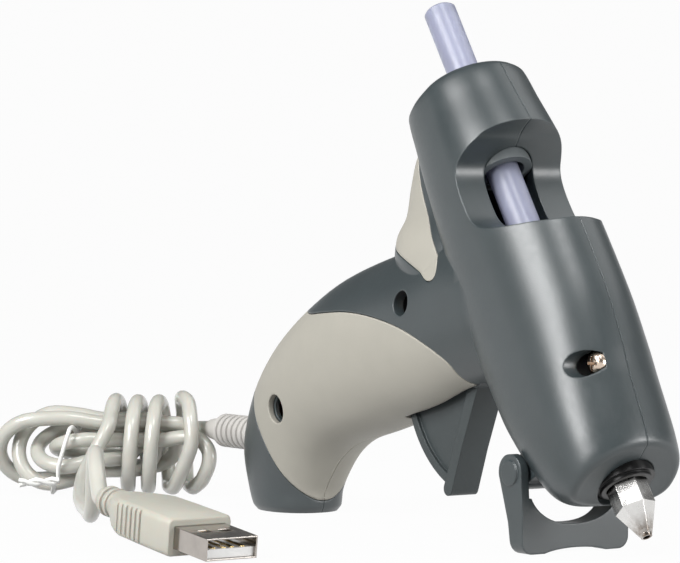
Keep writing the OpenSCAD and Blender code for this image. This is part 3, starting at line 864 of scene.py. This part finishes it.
@dataclass
class Studio:
    """Camera, soft lamps, pale floor and backdrop."""

    azimuth: float = 57.0
    elevation: float = 1.33
    distance: float = 700.0
    target: Point = (-39.0, 0.0, 53.17)
    lens: float = 163.5
    daylight: float = 0.15
    glow: float = 0.97
    reach: float = 2700.0
    bend: float = 300.0
    paper_height: float = 540.0

    def place_camera(self) -> None:
        """Makes the camera at the photograph's viewing angle."""
        a, e = math.radians(self.azimuth), math.radians(self.elevation)
        back = Vector((math.sin(a) * math.cos(e), -math.cos(a) * math.cos(e), math.sin(e)))
        data = bpy.data.cameras.new("camera")
        data.lens = self.lens
        data.sensor_width = 36
        data.clip_start = 0.01
        data.clip_end = 20
        camera = bpy.data.objects.new("camera", data)
        camera.location = (Vector(self.target) + back * self.distance) * MM
        camera.rotation_mode = "QUATERNION"
        camera.rotation_quaternion = (-back).to_track_quat("-Z", "Y")
        bpy.context.scene.collection.objects.link(camera)
        bpy.context.scene.camera = camera

    def lamp(self, name: str, place: Point, aim: Point, size: Flat, watts: float, roll: float = 0) -> None:
        """Adds a soft rectangular lamp.

        Args:
            name: Name of the lamp.
            place: Where it is, in millimetres.
            aim: Point that it faces.
            size: Width and height in millimetres.
            watts: Its power.
            roll: Turn of the lamp about its own line of aim, in degrees.
        """
        data = bpy.data.lights.new(name, "AREA")
        data.shape = "RECTANGLE"
        data.size = size[0] * MM
        data.size_y = size[1] * MM
        data.energy = watts
        lamp = bpy.data.objects.new(name, data)
        lamp.location = Vector(place) * MM
        lamp.rotation_mode = "QUATERNION"
        turn = Quaternion((0, 0, 1), math.radians(roll))
        lamp.rotation_quaternion = (Vector(aim) - Vector(place)).to_track_quat("-Z", "Y") @ turn
        bpy.context.scene.collection.objects.link(lamp)

    def light(self) -> None:
        """Sets the lamps and the plain world."""
        centre = (-20, 0, 50)
        self.lamp("key", (45, -520, 440), centre, (380, 170), 3.3, 25)
        self.lamp("low_key", (175, -570, 275), centre, (260, 140), 2.1, 25)
        self.lamp("side", (112, 384, 491), centre, (420, 420), 0.9)
        self.lamp("overhead", (300, -100, 610), centre, (200, 200), 1.5)
        self.lamp("front", (540, 300, 140), centre, (260, 260), 2.0)
        world = bpy.data.worlds.new("studio")
        world.use_nodes = True
        world.node_tree.nodes["Background"].inputs[0].default_value = (1, 1, 1, 1)
        world.node_tree.nodes["Background"].inputs[1].default_value = self.daylight
        bpy.context.scene.world = world

    def floor(self) -> None:
        """Makes the pale floor that turns up into a backdrop."""
        g = Graph("pale_paper")
        paper = g.add("BsdfPrincipled")
        g.feed(paper.inputs["Roughness"], 0.8)
        fibre = g.remap(g.noise(20, 3), 0, 1)
        g.feed(paper.inputs["Base Color"], g.blend(fibre, (0.38, 0.38, 0.38), (0.4, 0.4, 0.4)))
        path = g.add("LightPath")
        seen = g.calculate("MAXIMUM", path.outputs["Is Camera Ray"], path.outputs["Is Glossy Ray"])
        seen = g.calculate("MAXIMUM", seen, path.outputs["Is Transmission Ray"])
        mix = g.add("MixShader")
        g.feed(mix.inputs[0], g.calculate("MULTIPLY", seen, self.glow))
        g.feed(mix.inputs[1], paper.outputs[0])
        g.feed(mix.inputs[2], g.add("Emission").outputs[0])
        g.feed(g.output.inputs["Surface"], mix.outputs[0])
        turns = [math.radians(q) for q in range(15, 91, 15)]
        cove = [(self.reach + self.bend * math.sin(q), self.bend - self.bend * math.cos(q)) for q in turns]
        profile = [(400.0, 0.0), (self.reach, 0.0)] + cove + [(self.reach + self.bend, self.paper_height)]
        count = 72
        turns = [2 * math.pi * i / count for i in range(count)]
        points = [(r * math.cos(q), r * math.sin(q), h - 0.02) for r, h in profile for q in turns]
        faces = [tuple(range(count))]
        for j in range(len(profile) - 1):
            for i in range(count):
                k = (i + 1) % count
                faces.append((j * count + i, (j + 1) * count + i, (j + 1) * count + k, j * count + k))
        floor = Solid("floor", points, faces).object
        floor.data.materials.append(g.material)
        for face in floor.data.polygons:
            face.use_smooth = True

    def make(self) -> None:
        """Makes everything in the studio but the camera."""
        bpy.context.scene.view_settings.view_transform = "Standard"
        self.light()
        self.floor()


@dataclass
class CordBundle:
    """The cord from the boot through its hank to the plug."""

    diameter: float = 3.6
    boot_end: Point = (-95.4, 0, 16.4)
    boot_depth: float = 7.0
    origin: Flat = (-109.8, -9.5)
    turn: float = math.radians(57)
    height: float = 12.0
    waist: float = 6.3
    fan: float = 8.8
    loops: int = 4
    pitch: float = 4.6
    left_end: float = -36.6
    first_right_end: float = 6.4
    plug_front: Point = (25.9, -67.6, 2.52)
    plug_turn: float = math.radians(2)
    plug_lean: float = math.radians(7)
    wraps: tuple[Point, ...] = (
        (0.12, 10.9, 0), (0.26, 8.8, 0), (0.44, 7.9, 0), (0.66, 7.6, 0.8), (0.78, 10.3, 2.2),
        (0.9, 10.8, 1.6), (1.04, 7.4, 0.4), (1.17, 4.8, 0), (1.67, 2.2, 0), (2.17, -0.4, 0),
        (2.67, -2.9, 0), (3.17, -5.3, 0), (3.8, -9, 0.4),
    )

    def droop(self, r: float) -> float:
        """How far the hank hangs down at a place along it.

        Args:
            r: Place along the hank's axis.

        Returns:
            The drop.
        """
        f = min(1.0, max(0.0, (-10 - r) / 26))
        return 1.5 * f * f * (3 - 2 * f)

    def lay(self, r: float, d: float, h: float) -> Point:
        """Places a point of the hank's own frame.

        Args:
            r: Place along the axis to the right end.
            d: Place towards the plug.
            h: Height above the axis.

        Returns:
            The point in the row frame.
        """
        c, s = math.cos(self.turn), math.sin(self.turn)
        x, y = self.origin
        return (x + r * c + d * s, y + r * s - d * c, self.height - self.droop(r) + h)

    def ringed(self, r: float, radius: float, q: float) -> Point:
        """Places a point round the hank's axis.

        Args:
            r: Place along the axis.
            radius: Distance from the axis.
            q: Angle in degrees, 90 at the top.

        Returns:
            The point in the row frame.
        """
        return self.lay(r, radius * math.cos(math.radians(q)), radius * math.sin(math.radians(q)))

    def strand_radius(self, r: float) -> float:
        """Radius of the circle of strands, wider at the left end.

        Args:
            r: Place along the axis.

        Returns:
            The radius.
        """
        f = min(1.0, max(0.0, (-10 - r) / 13))
        return self.waist + (self.fan - self.waist) * f * f * (3 - 2 * f)

    def fold(self, end: float, side: int, radius: float, q: float, swing: float) -> list[Point]:
        """Half turn at an end of a loop.

        Args:
            end: Place of its outermost point.
            side: 1 at the left end and -1 at the right end.
            radius: Radius of the turn.
            q: Angle of its plane round the axis.
            swing: Change of that angle on the way.

        Returns:
            The points.
        """
        out = []
        for i in range(9):
            t = 22.5 * i
            f = min(1.0, max(0.0, (t - 50) / 80))
            place = end + side * radius * (1 - math.sin(math.radians(t)))
            out.append(self.ringed(place, radius * math.cos(math.radians(t)), q + swing * f))
        return out

    def straight(self, start: float, stop: float, q: float) -> list[Point]:
        """Long run of a loop, up to the turn that ends it.

        Args:
            start: Place of its first point.
            stop: Place where the turn takes over.
            q: Angle round the axis.

        Returns:
            The points.
        """
        places = [start + (stop - start) * k / 4 for k in range(4)]
        return [self.ringed(r, self.strand_radius(r), q) for r in places]

    def right_end(self, i: int) -> float:
        """Place of a loop's right end.

        Args:
            i: Number of the loop.

        Returns:
            The place along the axis.
        """
        return self.first_right_end - self.pitch * i

    def loop(self, i: int) -> list[Point]:
        """One loop of the hank: out, round the left end, back, round the right end.

        Args:
            i: Number of the loop.

        Returns:
            The points.
        """
        left = self.left_end + self.pitch * i
        q = 60 + 45 * i
        start = (4 if i == 0 else self.right_end(i - 1) - self.waist) - 2.6
        wide = self.strand_radius(left + 7)
        turn = left + wide
        last = i == self.loops - 1
        back = 3 if last else self.right_end(i) - self.waist
        points = self.straight(start, turn + 1.5, q)
        points += self.fold(left, 1, wide, q, 0)
        points += self.straight(turn + 4, back, q + 180)
        if not last:
            points += self.fold(self.right_end(i), -1, self.waist, q + 180, 45)
        return points

    def wrapping(self) -> list[Point]:
        """Turns of the cord round the hank's waist.

        Returns:
            The points.
        """
        out = []
        start, stop = self.wraps[0][0], self.wraps[-1][0]
        gaps = 52
        for i in range(gaps + 1):
            s = start + i * (stop - start) / gaps
            for (s0, r0, slack0), (s1, r1, slack1) in zip(self.wraps, self.wraps[1:]):
                if s0 <= s <= s1 + 1e-9:
                    f = (s - s0) / (s1 - s0)
                    r, slack = r0 + (r1 - r0) * f, slack0 + (slack1 - slack0) * f
            out.append(self.ringed(r, self.wrap_radius() + slack, -30 - 360 * s))
        return out

    def wrap_radius(self) -> float:
        """Radius of the turns round the waist.

        Returns:
            The radius.
        """
        return self.waist + self.diameter + 0.7

    def on_plug(self, back: float) -> Point:
        """Point on the plug's axis.

        Args:
            back: Distance behind the plug's mouth.

        Returns:
            The point in the row frame.
        """
        cl, sl = math.cos(self.plug_lean), math.sin(self.plug_lean)
        ct, st = math.cos(self.plug_turn), math.sin(self.plug_turn)
        x, y, z = self.plug_front
        return (x - back * cl * ct, y - back * cl * st, z + back * sl)

    def route(self) -> list[Point]:
        """The whole centreline of the cord.

        Returns:
            The points in millimetres.
        """
        x, y, z = self.boot_end
        first = [(x + self.boot_depth, y, z), (x, y, z), (-97.2, 0, 16.4), (-98.9, -0.2, 16.3)]
        entry = rounded([(-102, -2.2, 16.2), self.lay(7.4, 2.9, 5.3), self.ringed(2.6, self.waist, 60)], 2)
        hank = [p for i in range(self.loops) for p in self.loop(i)]
        lift = rounded(
            [self.ringed(4, self.waist, 15), self.ringed(8.2, 6.6, 20), self.ringed(12.2, 7.7, 15),
             self.ringed(14.8, 9.1, -6), self.ringed(14.6, 10.2, -28), self.ringed(12.9, 10.5, -52)], 2)
        turns = self.wrapping()
        a, b = Vector(turns[-2]), Vector(turns[-1])
        out = tuple(b + 0.9 * (b - a))
        tail = rounded(
            [(-104.4, -28.3, 10.2), (-97, -34.6, 6.6), (-82.3, -43.4, 3), (-68, -49.6, 1.5),
             (-57, -54.6, 1.5), (-50.2, -57.6, 4), (-46.5, -59.4, 9.8), (-42.8, -61.2, 14.8),
             (-37.6, -63.7, 17), (-32.6, -66.2, 14.9), (-28.6, -67.9, 11.1), self.on_plug(51.2)], 2)
        return first + entry + hank + lift + turns + [out] + tail + [self.on_plug(48.8), self.on_plug(46)]

    def make(self, finishes: Finishes) -> bpy.types.Object:
        """Builds the cord, gives it its finish and hides the record's cord pieces.

        Args:
            finishes: The finishes.

        Returns:
            The cord.
        """
        points = rounded(self.route(), 3)
        data = bpy.data.curves.new("cord", "CURVE")
        data.dimensions = "3D"
        data.bevel_depth = self.diameter / 2 * MM
        data.bevel_resolution = 6
        data.use_fill_caps = True
        spline = data.splines.new("POLY")
        spline.points.add(len(points) - 1)
        for i, p in enumerate(points):
            spline.points[i].co = (p[0] * MM, p[1] * MM, max(p[2], self.diameter / 2 - 0.02) * MM, 1)
        spline.use_smooth = True
        data.materials.append(finishes.get("cord"))
        cord = bpy.data.objects.new("cord", data)
        bpy.context.scene.collection.objects.link(cord)
        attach(cord, Body.CASE.value)
        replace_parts(cord, "cord_lead", "cord_hank", "cord_tail")
        tuple(c * MM for c in self.route()[0])
        return cord


@dataclass
class Casing:
    """The two moulded halves with their light skins, lofted finely from the sizes of the source."""

    wall: float = 2.6
    seat: float = 1.5
    skin: float = 1.4
    groove: float = 0.2
    trough: float = 6.5
    screw_hole: float = 2.7
    around: int = 112
    steps: int = 5
    squareness: float = 2.2
    keel: float = 2.8
    seam: float = 0.05
    pivot: Flat = (19, 35.5)
    arc: float = 26.8
    barrel: tuple[Row, ...] = (
        (12.3, 11.1, 11.0, 13.9, 0.05), (13.5, 12.0, 11.9, 15.0, 0.04), (20, 12.6, 12.8, 15.8, 0),
        (30, 13.5, 14.3, 16.6, 0), (42, 13.8, 15.8, 18, 0), (56, 13.9, 16.7, 19.4, 0),
        (70, 14.1, 16.4, 20.4, 0), (83, 14.1, 14.8, 20, 0), (90, 14.1, 13.3, 18.3, -0.04),
        (96.3, 13.9, 12.3, 15.1, -0.15), (99, 13.7, 11.9, 13, -0.22), (101.3, 13.4, 11.5, 10.6, -0.26),
        (102.9, 13.1, 11.2, 8.1, -0.285), (104, 12.7, 10.9, 6.6, -0.295), (104.6, 12.2, 10.5, 5.8, -0.3),
        (105, 11.5, 9.9, 5.2, -0.3), (105.2, 10.5, 9, 4.6, -0.3),
    )
    handle: tuple[Row, ...] = (
        (-8, 31, 66, 40, 38, 11.6), (0, 21, 67.5, 28.5, 34, 13.3), (14, 6.6, 63.4, 18, 31, 13.8),
        (28, -9.8, 60, 7, 27, 14.2), (43, -27.9, 55, -6, 23.7, 14.2), (57, -43, 48.1, -19, 20.2, 13.8),
        (70, -57.4, 38.3, -30.5, 17.2, 13), (82, -67.6, 26.3, -37.8, 13.4, 11.8),
        (91, -72, 14, -42.6, 8.6, 10.7), (97, -70.2, 5.5, -45.4, 4.4, 9.8),
        (101, -68.4, 1.4, -46, 1.4, 9.4), (102.6, -67.2, 0, -47, 0, 8.4),
    )
    web: tuple[Row, ...] = (
        (0, 2.5, 86, 21, 86, 7), (6, -3, 80, 23, 80, 8.3), (12, -4.6, 74, 23, 74, 9),
        (18, -6, 68, 25, 68, 9.6), (23, -8.5, 63, 25, 63, 11.2), (26.5, -8.4, 59.5, 25, 59.5, 12),
        (30, -5, 56, 25, 56, 12.2), (36, 2, 50, 24, 50, 10.5),
    )
    scoop: tuple[Flat, ...] = (
        (29.2, 30), (29.4, 12.5), (30.6, 8), (32, 4.4), (33.8, 1.9), (37, 0.7), (42, 0.4), (46, 0.9), (49, 3),
        (51.6, 7.5), (54, 13.2), (55.3, 17.5), (55.8, 30),
    )
    grip_top: tuple[Flat, ...] = (
        (30, 28.3), (26, 29.8), (20.4, 33.2), (18.9, 37.4), (13.7, 41), (5.2, 44.3), (-5.6, 46.3), (-17, 47),
        (-28.6, 46.4), (-35, 46), (-42, 46.6),
    )
    grip_foot: tuple[Flat, ...] = (
        (-44.4, 0.5), (-45.7, 3), (-47.3, 6), (-50.2, 10.9), (-53.5, 16.7), (-58.4, 24), (-63, 32), (-67, 40),
    )
    rear_edge: tuple[Flat, ...] = (
        (1, 84), (5.8, 75), (10.8, 66.6), (15.1, 60.4), (16.9, 57.2), (16.6, 55), (14, 54.6), (9.4, 56.9),
        (3.6, 59.2), (-3, 61.5), (-12, 65.6),
    )
    grip_screw: Flat = (-46.6, 24.3)
    heads: tuple[float, ...] = (-7, -8, -4.7)
    nose: float = 101.2
    stand_pivot: Flat = (95.46, -16.36)
    stand: Point = (44.7, 16.3, 13.5)
    arch: Point = (11.6, 8.6, 14.4)

    def barrel_ring(self, r: Row, d: float, count: int) -> list[Point]:
        """One ring of the barrel.

        Args:
            r: Row of the barrel's table.
            d: Distance inside the surface.
            count: Points round the ring.

        Returns:
            The points.
        """
        out = []
        for i in range(count):
            q = 2 * math.pi * i / count
            e = 1.0 if math.sin(q) >= 0 else 2 / self.keel
            reach = r[2] - d if math.sin(q) >= 0 else r[3] - d
            u = reach * power(math.sin(q), e)
            out.append(BARREL_FRAME.point(r[0] - r[4] * (r[2] - u), (r[1] - d) * power(math.cos(q), e), u))
        return out

    def span_ring(self, r: Row, d: float, count: int) -> list[Point]:
        """One ring between a back point and an inner point.

        Args:
            r: Row of the handle's or the web's table.
            d: Distance inside the surface.
            count: Points round the ring.

        Returns:
            The points.
        """
        length = math.hypot(r[1] - r[3], r[2] - r[4])
        g = (length / 2 - d) / length
        out = []
        for i in range(count):
            q = 2 * math.pi * i / count
            k = g * power(math.sin(q), 2 / self.squareness)
            y = (r[5] - d) * power(math.cos(q), 2 / self.squareness)
            out.append(((r[1] + r[3]) / 2 + (r[1] - r[3]) * k, y, (r[2] + r[4]) / 2 + (r[2] - r[4]) * k))
        return out

    def hull(self, name: str, d: float, count: int, steps: int) -> Solid:
        """The whole body's outer form, or one inside it.

        Args:
            name: Name of the piece.
            d: Distance inside the surface.
            count: Points round each ring.
            steps: Rings per gap of the tables.

        Returns:
            The solid.
        """
        barrel = Solid.loft(name, [self.barrel_ring(r, d, count) for r in smooth(list(self.barrel), steps)])
        handle = Solid.loft("handle", [self.span_ring(r, d, count) for r in smooth(list(self.handle), steps)])
        web = Solid.loft("web", [self.span_ring(r, d, count) for r in smooth(list(self.web), steps)])
        return barrel.meet(Solve.JOIN, handle, web)

    def box(self, low: Point, high: Point, barrel: bool = False) -> Solid:
        """A box that only serves as a tool.

        Args:
            low: Lowest corner.
            high: Highest corner.
            barrel: True where the corners are in the barrel frame.

        Returns:
            The solid.
        """
        outline = [(low[0], low[2]), (high[0], low[2]), (high[0], high[2]), (low[0], high[2])]
        return Solid.prism("box", outline, low[1], high[1], barrel)

    def grip_outline(self, grow: float) -> list[Flat]:
        """Flat outline of the grip skin.

        Args:
            grow: Distance outwards.

        Returns:
            The outline in X and Z.
        """
        edge = rounded(list(self.grip_top), 5)
        foot = rounded(list(self.grip_foot), 4)
        return offset(edge + [(-50, 47), (-67, 47)] + foot[::-1] + [(-30, -6), (0, 8), (29, 24)], grow)

    def rear_outline(self, grow: float) -> list[Flat]:
        """Flat outline of the rear skin.

        Args:
            grow: Distance outwards.

        Returns:
            The outline in X and Z.
        """
        return offset(rounded(list(self.rear_edge), 6) + [(-20, 85.3), (0.4, 85.3)], grow)

    def cavity(self) -> Solid:
        """The hollow inside the casing.

        Returns:
            The solid.
        """
        inner = self.hull("inner", self.wall, 40, 2)
        region = self.box((-100, -30, self.wall), (100, 30, 84 + self.wall))
        region.meet(Solve.JOIN, self.box((15.8, -30, -30), (self.nose, 30, 30), True))
        inner.meet(Solve.KEEP, region)
        scoop = offset(rounded(list(self.scoop), 2), self.wall)
        inner.meet(Solve.CUT, Solid.prism("scoop", scoop, -30, 30, True))
        return inner.meet(Solve.CUT, self.box((self.nose, -30, -30), (124.8, 30, 30), True))

    def seats(self) -> Solid:
        """The shallow seats that the skins lie in.

        Returns:
            The solid.
        """
        seat = Solid.prism("seat", self.grip_outline(self.groove), -20, 20)
        seat.meet(Solve.JOIN, Solid.prism("rear_seat", self.rear_outline(self.groove), -20, 20))
        return seat.meet(Solve.CUT, self.hull("floor_of_seat", self.seat, 64, 3))

    def slot(self) -> Solid:
        """The slot that the trigger swings in.

        Returns:
            The solid.
        """
        reach = self.arc + 0.5
        fan = Solid.prism("slot", ellipse(self.pivot, (reach, reach), range(180, 361, 5)), -4.7, 4.7)
        return fan.meet(Solve.KEEP, self.box((-20, -10, 0), (23, 10, 60)))

    def whole(self) -> Solid:
        """Both halves in one, with every cut that they share.

        Returns:
            The solid.
        """
        at = BARREL_FRAME.point
        body = self.hull("casing", 0, self.around, self.steps)
        lug = ellipse(self.stand_pivot, (3.5, 3.5), range(150, 391, 8))
        lug += [(98.7, -11), (98.7, -8), (92.2, -8), (92.2, -11)]
        body.meet(Solve.JOIN, Solid.prism("lug", lug, -10.9, 10.9, True))
        body.meet(Solve.CUT, self.cavity(), self.seats())
        body.meet(Solve.CUT, Solid.prism("scoop", rounded(list(self.scoop), 6), -30, 30, True))
        a, u = self.stand_pivot
        x, z = self.pivot
        for name, start, end, radius, count in (
            ("trough", at(29.5, 0, 0), at(56, 0, 0), self.trough, 96),
            ("inlet", at(10, 0, 0), at(20, 0, 0), 4.6, 80),
            ("outlet", at(100, 0, 0), at(112, 0, 0), 6.3, 80),
            ("stand_bore", at(a, -30, u), at(a, 30, u), 1.52, 48),
            ("boot_hole", (-78, 0, 16.4), (-64, 0, 16.4), 3.33, 64),
        ):
            body.meet(Solve.CUT, Solid.rod(name, start, end, radius, count))
        return body.meet(Solve.CUT, self.slot(), Solid.rod("hub_room", (x, -4.7, z), (x, 4.7, z), 3.8, 48))

    def split(self, both: Solid, name: str, side: Side) -> Solid:
        """Takes one half of a solid.

        Args:
            both: The whole, which is kept.
            name: Name of the half.
            side: Which half.

        Returns:
            The half.
        """
        half = Solid.copy(both, name)
        y0, y1 = (-30, -self.seam) if side is Side.RIGHT else (self.seam, 30)
        return half.meet(Solve.KEEP, self.box((-100, y0, -1), (100, y1, 130)))

    def screw_places(self) -> list[Flat]:
        """Places of the three case screws.

        Returns:
            X and Z of each.
        """
        a = BARREL_FRAME.point(86.4, 0, 10.9)
        return [self.grip_screw, (5.6, 49.6), (a[0], a[2])]

    def make_screws(self, finishes: Finishes) -> None:
        """Builds the three case screws with domed heads and cross recesses.

        Args:
            finishes: The finishes.
        """
        made: list[Solid] = []
        dome = [(0.0, 2.4), (0.6, 2.4), (1.1, 2.2), (1.5, 1.7), (1.75, 0.9), (1.8, 0.05)]
        long, narrow = 1.45, 0.28
        for (x, z), y in zip(self.screw_places(), self.heads):
            screw = Solid.turned("screw", (x, y, z), (x, y - 1, z), dome, 48)
            screw.meet(Solve.JOIN, Solid.rod("shank", (x, y - 0.3, z), (x, 5.5, z), 1.2, 24))
            for wide, high in ((long, narrow), (narrow, long)):
                screw.meet(Solve.CUT, self.box((x - wide, y - 3, z - high), (x + wide, y - 0.7, z + high)))
            made.append(screw)
        made[0].meet(Solve.JOIN, *made[1:])
        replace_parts(made[0].dressed(finishes.get("screw"), Body.CASE, "plated_steel", 35), "case_screws")

    def make_stand(self, finishes: Finishes) -> None:
        """Builds the fold-out stand with its wide arch.

        Args:
            finishes: The finishes.
        """
        x, z, half = self.stand
        eye = ellipse((x, z), (3.8, 3.8), range(-10, 191, 8))
        foot = [(x - 2.2, z - 5.2), (x - 0.6, z - 10), (x + 0.4, 0), (x + 4.2, 0), (x + 4.3, 8)]
        plate = Solid.prism("stand_plate", eye + foot, -half, half)
        wide, high, crown = self.arch
        turns = [math.radians(q) for q in range(0, 181, 6)]
        arch = [(wide * power(math.cos(q), 0.86), crown - high * power(math.sin(q), 0.92)) for q in turns]
        arch += [(-wide, 30), (wide, 30)]
        under = ellipse((0, -1.2), (9.5, 2.1), range(0, 360, 8))
        corner = ellipse((2.5 - half, 2.5), (-2.5, -2.5), range(0, 91, 10))
        front = corner + [(-y, h) for y, h in corner[::-1]] + [(half, 30), (-half, 30)]
        plate.meet(Solve.KEEP, Solid.across("front", front, x - 10, x + 10))
        for name, outline in (("arch", arch), ("under", under)):
            plate.meet(Solve.CUT, Solid.across(name, outline, x - 12, x + 12))
        plate.meet(Solve.JOIN, Solid.rod("cap", (x, -half - 0.35, z), (x, half + 0.35, z), 2.6, 64))
        plate.meet(Solve.CUT, self.box((x - 12, -11.6, z - 5), (x + 12, 11.6, z + 9)))
        plate.meet(Solve.CUT, Solid.rod("pin_room", (x, -12.7, z), (x, 12.7, z), 1.55, 48))
        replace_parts(plate.dressed(finishes.get("casing"), Body.STAND, "casing"), "stand")

    def make(self, finishes: Finishes) -> None:
        """Builds halves and skins, and dresses them.

        Args:
            finishes: The finishes.
        """
        both = self.whole()
        right = self.split(both, "right_casing", Side.RIGHT)
        for (x, z), head in zip(self.screw_places(), self.heads):
            well = Solid.rod("well", (x, -20, z), (x, head, z), self.screw_hole, 64)
            right.meet(Solve.CUT, well)
        left = self.split(both, "left_casing", Side.LEFT)
        bpy.data.objects.remove(both.object)
        for solid, node in ((right, "right_shell"), (left, "left_shell")):
            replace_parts(solid.dressed(finishes.get("casing"), Body.CASE, "casing"), node)
        LOG.info("casing halves done")
        shell = self.hull("skins", 0, self.around, self.steps)
        shell.meet(Solve.CUT, self.hull("under_skins", self.skin, 64, 3))
        for name, outline in (("grip", self.grip_outline(0)), ("rear_panel", self.rear_outline(0))):
            piece = Solid.copy(shell, name).meet(Solve.KEEP, Solid.prism("outline", outline, -20, 20))
            if name == "grip":
                piece.meet(Solve.CUT, self.slot())
            for side, word in ((Side.RIGHT, "right"), (Side.LEFT, "left")):
                half = self.split(piece, f"{word}_{name}_skin", side)
                if name == "grip" and side is Side.RIGHT:
                    x, z = self.grip_screw
                    half.meet(Solve.CUT, Solid.rod("hole", (x, -20, z), (x, 0, z), 3.3, 64))
                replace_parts(half.dressed(finishes.get("skin"), Body.CASE, "skin"), f"{word}_{name}")
            bpy.data.objects.remove(piece.object)
        bpy.data.objects.remove(shell.object)
        self.make_screws(finishes)
        self.make_stand(finishes)
        LOG.info("skins, screws and stand done")


@dataclass
class CarriedOver:
    """Solids whose shape is right as they are, and that only get their finish."""

    nodes: dict[str, tuple[str, float]] = field(
        default_factory=lambda: {
            "guide_ring": ("guide", 30),
            "glue_stick": ("glue", 30),
            "feed_carriage": ("black", 30),
            "feed_clip": ("spring", 30),
            "trigger": ("trigger", 25),
            "trigger_pin": ("plated", 30),
            "trigger_spring": ("spring", 60),
            "melt_chamber": ("aluminium", 30),
            "inlet_sleeve": ("silicone", 30),
            "heater_plate": ("ceramic", 30),
            "heater_clip": ("brass", 30),
            "nozzle": ("nickel", 25),
            "nozzle_collar": ("black", 30),
            "stand_pins": ("plated", 30),
            "power_leads": ("lead", 60),
            "strain_relief": ("boot", 30),
            "twist_tie": ("tie", 70),
            "usb_body": ("plug", 35),
            "usb_shell": ("tinned", 30),
            "usb_tongue": ("insulator", 30),
            "usb_contacts": ("gold", 30),
        }
    )

    def make(self, frame: dict, finishes: Finishes) -> None:
        """Dresses the nodes.

        Args:
            finishes: The finishes.
        """
        for node, (finish, split) in self.nodes.items():
            thing = frame["nodes"][node]
            thing.data.materials.clear()
            thing.data.materials.append(finishes.get(finish))
            shade(thing, split)
            LOG.info("%s has its finish", node)


def main() -> None:
    """Builds the scene in order."""
    logging.basicConfig(level=logging.INFO, format="%(message)s")
    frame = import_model()
    studio = Studio()
    studio.place_camera()
    finishes = Finishes()
    CordBundle().make(finishes)
    Casing().make(finishes)
    CarriedOver().make(frame, finishes)
    studio.make()


if __name__ == "__main__":
    main()
